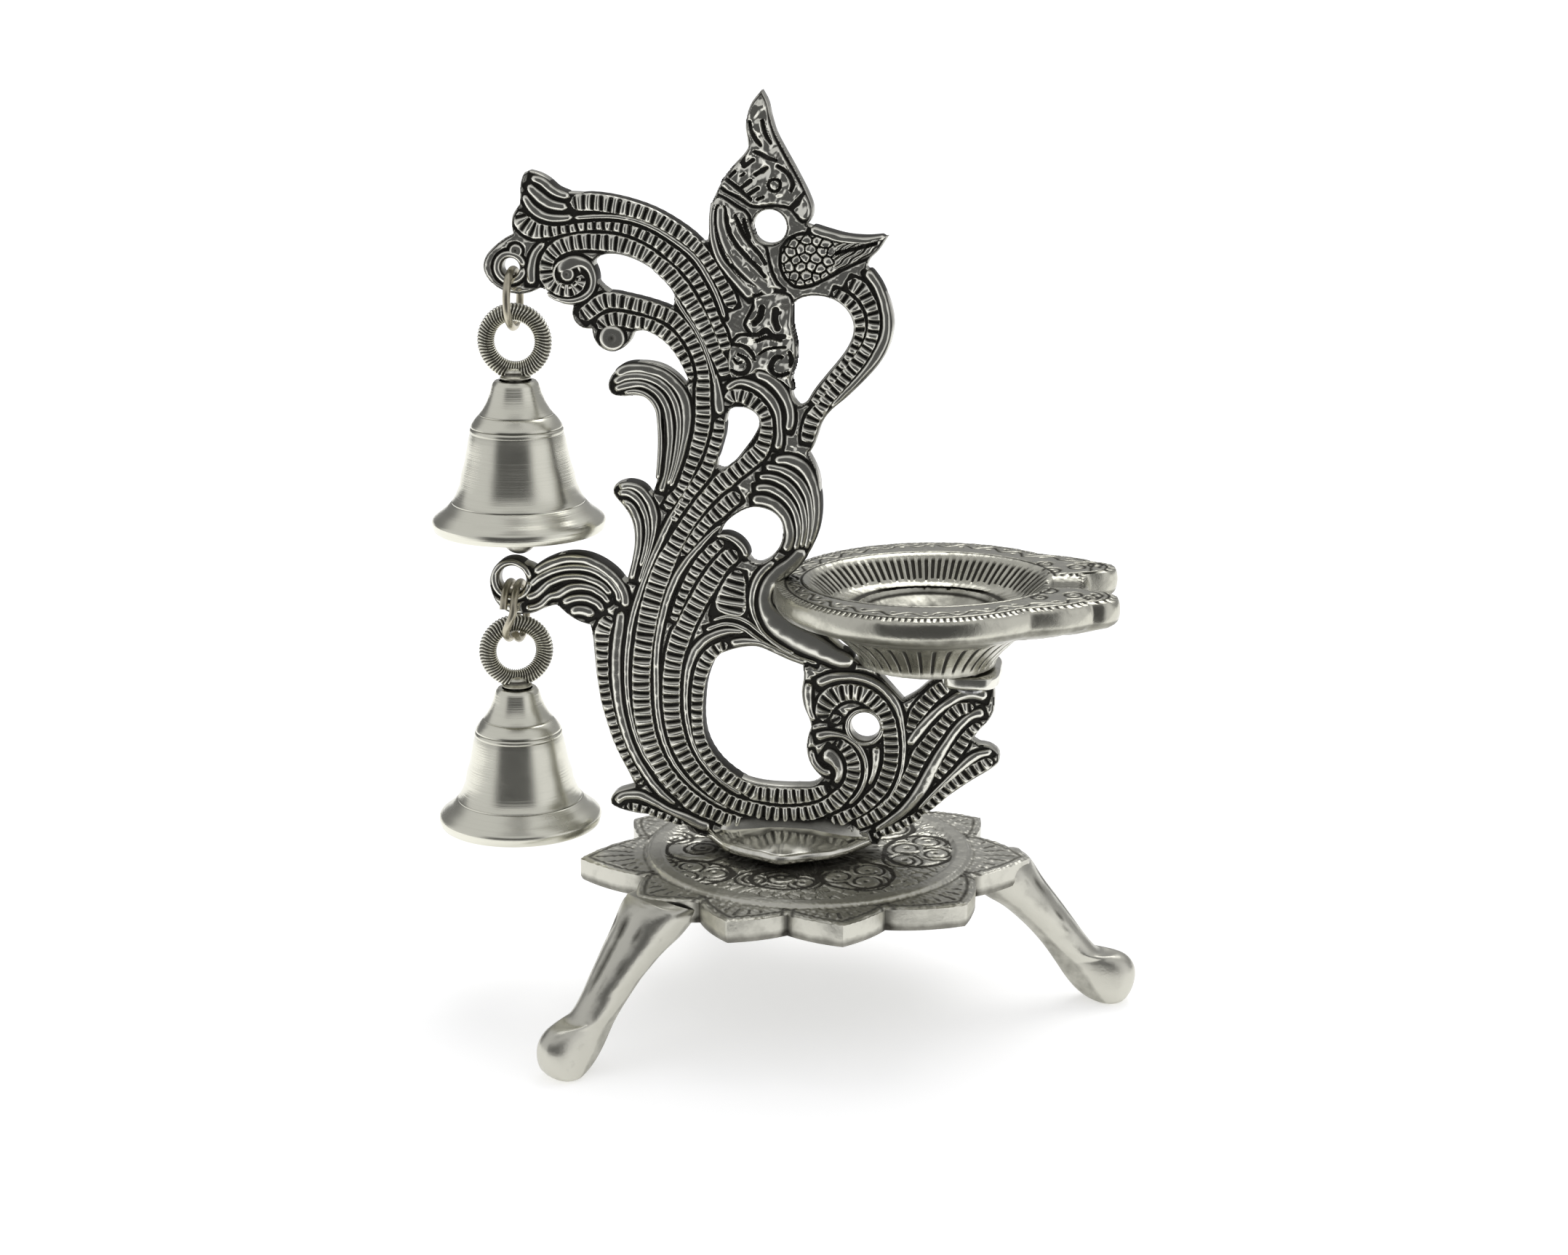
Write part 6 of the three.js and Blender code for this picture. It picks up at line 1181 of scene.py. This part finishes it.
def bowl_edge(turn):
    """Distance from the bowl's middle to its outer edge, with the two prongs of the spout."""
    direction = np.stack([np.cos(turn), np.sin(turn)], axis=-1)
    radius = np.full(len(turn), RIM_RADIUS)
    lobe_y, lobe = 11.2, 4.4
    for side, lobe_x in ((-1, 32.6), (1, 31.7)):
        along = direction @ np.array([lobe_x, side * lobe_y])
        off = lobe_x**2 + lobe_y**2 - along**2
        hit = off < lobe**2
        radius = np.where(hit, np.maximum(radius, along + np.sqrt(np.clip(lobe**2 - off, 0, None))), radius)
    degrees = np.abs(np.degrees(turn))
    shoulder = 29.4 + 6.3 * (1 - ease(degrees, 24, 52))
    radius = np.where((degrees > 22) & (degrees < 54), np.maximum(radius, shoulder), radius)
    notch = 31.1 + 4.4 * (degrees / 11.0) ** 2.2
    radius = np.where(degrees < 11.5, np.minimum(np.maximum(radius, 31.1), notch), radius)
    kernel = np.hanning(9)
    kernel /= kernel.sum()
    wrapped = np.concatenate([radius[-4:], radius, radius[:4]])
    return np.convolve(wrapped, kernel, mode="valid")


def build_bowl():
    """Rings from the middle of the underside up over the rim and down to the middle of the inside."""
    rim_top = node_top("oil_bowl")
    base = node_bottom("oil_bowl")
    turn = np.linspace(-math.pi, math.pi, 1200, endpoint=False)
    edge = bowl_edge(turn)
    cos, sin = np.cos(turn), np.sin(turn)
    mouth = 1 / np.hypot(cos / MOUTH[0], sin / MOUTH[1])
    rows, shades = [], []

    def add(radius, height, patina=0.12):
        radius = np.broadcast_to(radius, turn.shape)
        rows.append(np.stack([BOWL_X + radius * cos, radius * sin, np.broadcast_to(height, turn.shape)], axis=1))
        shades.append(np.broadcast_to(np.clip(patina, 0, 1), turn.shape))

    def trough_at(side):
        """Depth of the groove that leads the wick out between the prongs."""
        return TROUGH_DEPTH * (1 - ease(np.abs(side), 1.5, 6.0)) * ease(cos, 0.2, 0.6)

    for radius, rise, shade in ((0.05, 0, 0.7), (8, 0, 0.7), (12.6, 0, 0.6), (13.3, 0.2, 0.4)):
        add(radius, base + rise, shade)
    cup = [(13.4, 0.9), (13.9, 1.8), (14.9, 3.0), (16.2, 4.3), (17.6, 5.6), (19, 6.7), (20.6, 7.7)]
    flutes = np.cos(turn * CUP_FLUTES)
    for k, (radius, rise) in enumerate(cup):
        depth = 0.45 * ease(k, 0, 2) * (1 - ease(k, 4.5, 6))
        cut = ease(-flutes, 0.45, 0.95)
        add(radius - depth * cut, base + rise, 0.15 + 0.95 * cut * (depth > 0.05))
    add(22.5, base + 8.6, 0.5)
    for share, rise in ((0.82, 9.3), (0.88, 10.0), (0.93, 10.6), (0.965, 11.0)):
        add(edge * share, base + rise, 0.3)
    roll = 2.35
    middle = rim_top - 2.45
    for angle in np.linspace(-70, 62, 11):
        a = math.radians(angle)
        add(edge - 1.1 + 1.1 * math.cos(a), middle + roll * math.sin(a), 0.12 + 0.3 * (angle < -40))
    hatch = ease(np.cos(turn * RIM_STROKES), 0.35, 0.9)
    outer = edge - 1.35
    for share in np.linspace(0, 1, 44):
        radius = outer + (mouth - outer) * share
        from_edge = edge - radius
        side = radius * sin
        trough = trough_at(side)
        bevel = 0.3 * (1 - ease(from_edge, 1.2, 2.2))
        hatching = hatch * bump_at(from_edge, 1.7, 0.45) * 0.25
        line_out = bump_at(from_edge, 2.35, 0.24)
        line_in = bump_at(radius, mouth + 0.7, 0.24)
        middle_band = (2.35 + np.minimum(edge - mouth, 7.5) - 0.7) / 2
        swing = 0.22 * np.minimum(edge - mouth, 7.5)
        vine = bump_at(from_edge, middle_band + 0.6 * swing * np.sin(turn * VINE_WAVES), 0.34)
        leaf_phase = np.cos(turn * VINE_WAVES + 1.57)
        leaves = bump_at(from_edge, middle_band + 0.5 * swing * np.sign(leaf_phase), 0.4)
        leaves = leaves * ease(np.abs(leaf_phase), 0.75, 0.98)
        for curl_x, curl_y, curl in SPOUT_CURLS:
            away = np.hypot(BOWL_X + radius * cos - curl_x, np.abs(side) - curl_y)
            leaves = np.maximum(leaves, bump_at(away, curl, 0.34))
            leaves = np.maximum(leaves, 1 - ease(away, 0.3, 0.6))
        cut = np.clip(line_out + line_in + 0.9 * vine + 0.9 * leaves, 0, 1) * (1 - ease(trough, 0.1, 0.4))
        add(radius, rim_top - bevel - trough - 0.28 * cut - hatching, 0.1 + 0.95 * cut + 0.9 * hatching / 0.25
            + 0.4 * ease(trough, 0.4, 1.0))
    floor_trough = trough_at(mouth * sin)
    wall_flutes = ease(-np.cos(turn * WALL_FLUTES), -0.2, 0.45)
    for share in np.linspace(0, 1, 15):
        radius = mouth - 0.6 - 5.1 * share * mouth / MOUTH[0]
        height = rim_top - 0.5 - 4.1 * share**1.1
        band = ease(share, 0.08, 0.14) * (1 - ease(share, 0.8, 0.88 + 0.06 * np.sin(turn * 31)))
        drop = np.minimum(height, rim_top - floor_trough - 0.4)
        add(radius, drop - 0.45 * wall_flutes * band, 0.15 + 0.95 * wall_flutes * band)
    add(16.4 * mouth / MOUTH[0], base + 11.2, 0.15)
    floor = [(14.7, 10.85, 1.0), (14.3, 10.7, 0.9), (13.8, 10.75, 0.1), (13.4, 10.3, 0.2), (13, 9.9, 0.9),
             (12.4, 9.6, 0.3)]
    for radius, rise, shade in floor:
        add(radius, base + rise, shade)
    petals = np.cos(turn * 8)
    for radius in np.linspace(11.8, 0.3, 22):
        rise = 4.6 + 5.0 * (radius / 12.4) ** 1.7
        outline = bump_at(radius, 9.6 - 2.4 * (1 - np.abs(petals)), 0.5)
        spoke = ease(np.abs(petals), 0.0, 0.12)
        vein = (1 - spoke) * ease(radius, 1.5, 3) * (1 - ease(radius, 7.0, 8.5))
        cut = np.clip(outline + vein, 0, 1)
        add(radius, base + rise - 0.25 * cut, 0.25 + 0.8 * cut)
    vertices = np.vstack(rows)
    vertices[:, 2] += 0.035 * rough_noise(vertices[:, 0], vertices[:, 1], vertices[:, 2], 2.5, 23)
    vertices[:, 2] = np.clip(vertices[:, 2], base, rim_top)
    level = np.clip((vertices[:, 2] - base) / (rim_top - base), 0, 1)
    vertices[:, 2] += level * (RIM_LIFT + RIM_TILT_Y * vertices[:, 1] + RIM_TILT_X * (vertices[:, 0] - BOWL_X))
    form = (vertices, grid_faces(len(rows), len(turn), wrap_columns=True, flip=True), np.concatenate(shades))
    mesh_piece("oil_bowl_casting", form, bowl_metal, "lamp", ["oil_bowl"], sharp=50)


# Bells, rings and small parts
def lathe(profile, segments, patina):
    """A profile of (radius, height) turned about Z, with one patina value for each of its points."""
    profile = np.asarray(profile, float)
    turn = full_turn(segments)
    x = profile[:, 0:1] * np.cos(turn)
    y = profile[:, 0:1] * np.sin(turn)
    z = np.broadcast_to(profile[:, 1:2], x.shape)
    vertices = np.stack([x, y, z], axis=-1).reshape(-1, 3)
    return vertices, grid_faces(len(profile), segments, wrap_columns=True, flip=True), np.repeat(patina, segments)


def hung(form, place_name, degrees=0):
    """A form about Z, turned by an angle and moved under its hook."""
    vertices, faces, patina = form
    a = math.radians(degrees)
    rotation = np.array([[math.cos(a), -math.sin(a), 0], [math.sin(a), math.cos(a), 0], [0, 0, 1]])
    return vertices @ rotation.T + [HANG_X[place_name], 0, 0], faces, patina


# The bell's profile as (radius, share of its height), drawn for a bell 29.4 mm high and 16.5 mm in radius,
# and the patina of the grooves by the number of the profile's point
BELL_HEIGHT, PROFILE_RADIUS, BELL_RADIUS = 29.4, 16.5, 17
BELL_INSIDE = 39  # the first point inside the rim
BELL = [(3.1, 1), (3.9, 0.998), (4.25, 0.985), (4.5, 0.965), (4.84, 0.92), (5.52, 0.86), (6.3, 0.81),
        (6.83, 0.785), (6.98, 0.779), (6.94, 0.772), (7.27, 0.766), (7.9, 0.742), (8.49, 0.712), (8.68, 0.7),
        (8.68, 0.692), (8.59, 0.688), (8.77, 0.683), (8.92, 0.67), (8.92, 0.66), (8.84, 0.654), (9.21, 0.61),
        (9.59, 0.54), (10.03, 0.46), (10.74, 0.38), (11.07, 0.31), (11.81, 0.245), (12.41, 0.205),
        (12.67, 0.196), (12.68, 0.188), (12.89, 0.184), (13.74, 0.15), (14.96, 0.115), (16.1, 0.085),
        (16.45, 0.068), (16.5, 0.055), (16.42, 0.035), (16.2, 0.008), (16, 0), (15.3, 0), (15, 0.01),
        (14.2, 0.08), (12.2, 0.18), (9.9, 0.33), (8.8, 0.47), (8, 0.6), (5.4, 0.75), (3.6, 0.84), (1.7, 0.86)]
GROOVES = {8: 0.75, 9: 0.6, 14: 0.7, 15: 0.8, 18: 0.6, 19: 0.5, 28: 0.8, 27: 0.4}


def build_bell_shell(place_name):
    bottom = node_bottom(f"{place_name}_bell_shell")
    top = node_top(f"{place_name}_bell_shell")
    height = top - bottom
    scale = height / BELL_HEIGHT * BELL_RADIUS / PROFILE_RADIUS
    points = np.asarray(BELL, float)
    profile = np.column_stack([points[:, 0] * scale, bottom + points[:, 1] * height])
    shade = np.zeros(len(profile))
    for index, value in GROOVES.items():
        shade[index] = value
    shade[BELL_INSIDE:] = 0.55
    mesh_piece(f"{place_name}_turned_bell", hung(lathe(profile, 192, shade), place_name), bell_metal,
               f"{place_name}_bell", [f"{place_name}_bell_shell"], sharp=32)


def build_knurled_ring(place_name, turn):
    """The ribbed ring with its collar, and the stem and the clapper's eye inside the bell."""
    ring_top = node_top(f"{place_name}_bell_ring")
    outer, hole, half_depth, ribs_round = 7.5, 3.8, 1.6, 62
    ring_z = ring_top - outer
    around = full_turn(620)[:, None]
    section = full_turn(36)[None, :]
    middle, half = (outer + hole) / 2, (outer - hole) / 2
    swirl = around * ribs_round + 2.6 * np.sin(2 * np.arccos(np.cos(section)))
    flat = np.abs(np.sin(section)) ** 0.5
    ribs = np.sin(swirl) * 0.2 * (0.4 + 0.6 * flat)
    radius = middle + (half + ribs - 0.2) * np.cos(section)
    depth = (half_depth + ribs - 0.2) * np.sin(section)
    ring = np.stack([radius * np.cos(around), depth, ring_z + radius * np.sin(around)], axis=-1).reshape(-1, 3)
    ring_patina = np.clip(0.35 - 3.2 * ribs, 0, 1).reshape(-1)
    ring_part = (ring, grid_faces(*ribs.shape, True, True, flip=True), ring_patina)
    collar_low = node_top(f"{place_name}_bell_shell") + 0.3
    collar = [(0.02, collar_low), (2.6, collar_low), (2.95, collar_low + 0.1), (3.0, collar_low + 0.35),
              (2.6, collar_low + 0.6), (2.1, collar_low + 0.85), (2.0, collar_low + 1.1), (2.15, collar_low + 1.35),
              (2.0, collar_low + 1.6), (1.5, collar_low + 2.1), (0.02, collar_low + 2.3)]
    eye_z = node_bottom(f"{place_name}_bell_ring") + 1.75
    stem = [(0.02, eye_z + 1.2), (1.25, eye_z + 1.3), (1.3, eye_z + 1.6), (1.3, collar_low), (0.02, collar_low + 0.2)]
    eye_turn = full_turn(36)
    eye_rows = []
    for radius_at, depth_at in ((0.95, -0.45), (1.2, -0.68), (1.5, -0.68), (1.75, -0.4), (1.75, 0.4), (1.5, 0.68),
                                (1.2, 0.68), (0.95, 0.45)):
        eye_rows.append(np.stack([radius_at * np.cos(eye_turn), np.full(36, depth_at),
                                  eye_z + radius_at * np.sin(eye_turn)], axis=1))
    eye = (np.vstack(eye_rows), grid_faces(8, 36, True, True), np.full(8 * 36, 0.4))
    parts = [ring_part, lathe(collar, 64, [0.3] * 5 + [0.7, 0.8] + [0.2] * 4), lathe(stem, 24, [0.4] * 5), eye]
    mesh_piece(f"{place_name}_knurled_ring", hung(joined(parts), place_name, turn), fitting_metal,
               f"{place_name}_bell", [f"{place_name}_bell_ring"], sharp=50)


def build_clapper(place_name, turn):
    """The ball with a seam round it, its shaft and a wire eye at the top."""
    low = node_bottom(f"{place_name}_clapper")
    loop_top = node_top(f"{place_name}_clapper")
    ball, eye_radius, eye_wire = 3.6, 1.75, 0.4
    angles = [math.radians(a) for a in np.linspace(-88, 70, 22)]
    ball_profile = [(0.03, low + 0.02)]
    ball_profile += [(ball * math.cos(a), low + ball + ball * math.sin(a)) for a in angles]
    shaft_top = loop_top - eye_wire - 2 * eye_radius + 0.1
    ball_profile += [(1.25, low + 2 * ball - 0.05), (1.25, low + 2 * ball + 0.35), (0.8, low + 2 * ball + 0.7),
                     (0.78, shaft_top - 0.4), (0.4, shaft_top), (0.02, shaft_top + 0.05)]
    seam = [0.3] * len(ball_profile)
    seam[len(angles) // 2] = 0.75
    eye_path = circle_path(eye_radius, loop_top - eye_wire - eye_radius)
    parts = [lathe(ball_profile, 64, seam), wire_tube(eye_path, eye_wire, 12)]
    mesh_piece(f"{place_name}_ball_clapper", hung(joined(parts), place_name, turn), fitting_metal,
               f"{place_name}_tongue", [f"{place_name}_clapper"], sharp=60)


def circle_path(radius, z):
    """A circle in the plane across X, round a point at height z."""
    turn = full_turn(64)
    return np.stack([0 * turn, radius * np.sin(turn), z + radius * np.cos(turn)], axis=1)


def wire_tube(path, radius, sides, closed=True):
    """A round wire along a path of points, closed on itself or with flat ends."""
    count = len(path)
    if closed:
        tangent = np.roll(path, -1, axis=0) - np.roll(path, 1, axis=0)
    else:
        tangent = np.gradient(path, axis=0)
    tangent /= np.linalg.norm(tangent, axis=1)[:, None]
    first = np.broadcast_to([1.0, 0, 0], tangent.shape) - tangent[:, 0:1] * tangent
    first = first / np.linalg.norm(first, axis=1)[:, None]
    second = np.cross(tangent, first)
    turn = full_turn(sides)
    rings = path[:, None, :] + radius * (np.cos(turn)[None, :, None] * first[:, None, :]
                                         + np.sin(turn)[None, :, None] * second[:, None, :])
    vertices = rings.reshape(-1, 3)
    faces = grid_faces(count, sides, wrap_rows=closed, wrap_columns=True, flip=True).tolist()
    if not closed:
        vertices = np.vstack([vertices, path[0:1], path[-1:]])
        start, end = count * sides, count * sides + 1
        faces += [[start, (k + 1) % sides, k] for k in range(sides)]
        base = (count - 1) * sides
        faces += [[end, base + k, base + (k + 1) % sides] for k in range(sides)]
    return vertices, faces, np.full(len(vertices), 0.25)


def build_wire_rings():
    """The closed ring in the upper hook and the split ring of nearly two turns in the lower one."""
    wire = 0.75
    low, high = node_bottom("upper_wire_ring"), node_top("upper_wire_ring")
    form = wire_tube(circle_path((high - low) / 2 - wire, (high + low) / 2), wire, 20)
    mesh_piece("upper_round_wire", hung(form, "upper"), wire_metal, "upper_link", ["upper_wire_ring"])
    radius = 5.6
    middle = node_top("lower_wire_ring") - wire - radius
    crossing = 60 / 360
    pitch = 2.0
    share = np.linspace(0, 1, 220)
    turns = crossing + share * (2 - crossing)
    blend = ease(turns, 1, 1 + crossing)
    angle = 2 * math.pi * turns - math.pi * 0.75
    path = np.stack([(blend - 0.5) * pitch, radius * np.sin(angle), middle + radius * np.cos(angle)], axis=1)
    form = wire_tube(path, wire, 20, closed=False)
    mesh_piece("lower_split_ring", hung(form, "lower"), wire_metal, "lower_link", ["lower_wire_ring"],
               sharp=60)


def finish_small_parts():
    """The screw, washer, rivets and nuts keep their solids and get a steel finish."""
    for name in ("stand_screw", "stand_washer", "front_bowl_rivet", "back_bowl_rivet", "upper_stem_nut",
                 "lower_stem_nut"):
        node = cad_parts[name]
        node.data.materials.clear()
        node.data.materials.append(steel)


# Studio
PHOTO_WIDTH = 2156
FOCAL_PIXELS = 3600
CAMERA_AZIMUTH = math.radians(8)
CAMERA_PITCH = math.radians(15)
CAMERA_DISTANCE = 512.0
CAMERA_TARGET = (0.0, 0.0, 76.8)
# The floor in metres from the camera's target: its front edge lies just out of the picture, so that metal facing
# the viewer mirrors the dark room
FLOOR_FRONT, FLOOR_FAR, FLOOR_SIDE = 0.122, 60.0, 30.0
FLOOR_GLOW = 0.53
SUN_STRENGTH, SUN_WIDTH = 0.75, math.radians(40)


def add_camera():
    """The camera that was fitted to the photo."""
    back = Vector((math.sin(CAMERA_AZIMUTH) * math.cos(CAMERA_PITCH),
                   -math.cos(CAMERA_AZIMUTH) * math.cos(CAMERA_PITCH), math.sin(CAMERA_PITCH)))
    data = bpy.data.cameras.new("camera")
    data.sensor_width = 36.0
    data.lens = FOCAL_PIXELS / PHOTO_WIDTH * data.sensor_width
    data.clip_start = 0.01
    camera = bpy.data.objects.new("camera", data)
    bpy.context.scene.collection.objects.link(camera)
    camera.location = Vector(place(CAMERA_TARGET)) + back * CAMERA_DISTANCE * MM
    camera.rotation_mode = "QUATERNION"
    camera.rotation_quaternion = (-back).to_track_quat("-Z", "Y")
    bpy.context.scene.camera = camera


def add_floor():
    """A pale floor that glows weakly, as white paper under a lamp does."""
    floor_material, tree, shader = node_material("studio_floor")
    shader.inputs["Roughness"].default_value = 0.9
    soft = noise_node(tree, 3.0, 2.0)
    pale = ramp_node(tree, soft.outputs["Fac"], [(0.3, (0.92, 0.92, 0.92)), (0.7, (0.94, 0.94, 0.94))])
    tree.links.new(pale.outputs["Color"], shader.inputs["Base Color"])
    tree.links.new(pale.outputs["Color"], shader.inputs["Emission Color"])
    shader.inputs["Emission Strength"].default_value = FLOOR_GLOW
    mesh = bpy.data.meshes.new("studio_floor")
    turn = Matrix.Rotation(CAMERA_AZIMUTH, 3, "Z")
    corners = [turn @ Vector((x, y, 0)) for x, y in ((-FLOOR_SIDE, -FLOOR_FRONT), (FLOOR_SIDE, -FLOOR_FRONT),
                                                     (FLOOR_SIDE, FLOOR_FAR), (-FLOOR_SIDE, FLOOR_FAR))]
    mesh.from_pydata(corners, [], [(0, 1, 2, 3)])
    mesh.materials.append(floor_material)
    floor = bpy.data.objects.new("studio_floor", mesh)
    bpy.context.scene.collection.objects.link(floor)


def add_sun():
    light = bpy.data.lights.new("soft_key", "SUN")
    light.energy = SUN_STRENGTH
    light.angle = SUN_WIDTH
    lamp = bpy.data.objects.new("soft_key", light)
    bpy.context.scene.collection.objects.link(lamp)
    lamp.rotation_euler = (math.radians(-25), math.radians(6), 0)


def add_world():
    """What the metal mirrors: pale panels left and right, and a dark room behind the camera.

    Seen directly, the room is plain and pale.
    """
    world = bpy.data.worlds.new("studio")
    world.use_nodes = True
    tree = world.node_tree
    coordinates = add_node(tree, "ShaderNodeTexCoord")
    around = add_node(tree, "ShaderNodeTexGradient", gradient_type="RADIAL")
    tree.links.new(coordinates.outputs["Generated"], around.inputs["Vector"])
    stops = [(0.0, 0.65), (0.125, 0.65), (0.16, 0.09), (0.355, 0.09), (0.395, 0.83), (0.48, 0.83), (0.53, 0.37),
             (0.78, 0.33), (0.86, 0.18), (0.93, 0.2), (0.965, 0.65), (1.0, 0.65)]
    panels = ramp_node(tree, around.outputs["Fac"], [(share, (v, v, 1.02 * v)) for share, v in stops])
    parts = add_node(tree, "ShaderNodeSeparateXYZ")
    tree.links.new(coordinates.outputs["Generated"], parts.inputs["Vector"])
    overhead_stops = [(height, (v,) * 3) for height, v in ((0.42, 0.0), (0.62, 1.0), (0.8, 1.0), (0.95, 0.45))]
    overhead = ramp_node(tree, parts.outputs["Z"], overhead_stops)
    mixed = add_node(tree, "ShaderNodeMix", data_type="RGBA")
    tree.links.new(overhead.outputs["Color"], mixed.inputs["Factor"])
    tree.links.new(panels.outputs["Color"], mixed.inputs["A"])
    mixed.inputs["B"].default_value = (0.64, 0.64, 0.65, 1.0)
    seen = add_node(tree, "ShaderNodeMix", data_type="RGBA")
    tree.links.new(add_node(tree, "ShaderNodeLightPath").outputs["Is Camera Ray"], seen.inputs["Factor"])
    tree.links.new(mixed.outputs["Result"], seen.inputs["A"])
    seen.inputs["B"].default_value = (1.0, 1.0, 1.0, 1.0)
    tree.links.new(seen.outputs["Result"], tree.nodes["Background"].inputs["Color"])
    bpy.context.scene.world = world


build_peacock()
build_stand()
build_bowl()
for bell, degrees in (("upper", 0), ("lower", 20)):
    build_bell_shell(bell)
    build_knurled_ring(bell, degrees)
    build_clapper(bell, degrees)
build_wire_rings()
finish_small_parts()
add_camera()
add_world()
bpy.context.scene.view_settings.view_transform = "Standard"
add_floor()
add_sun()
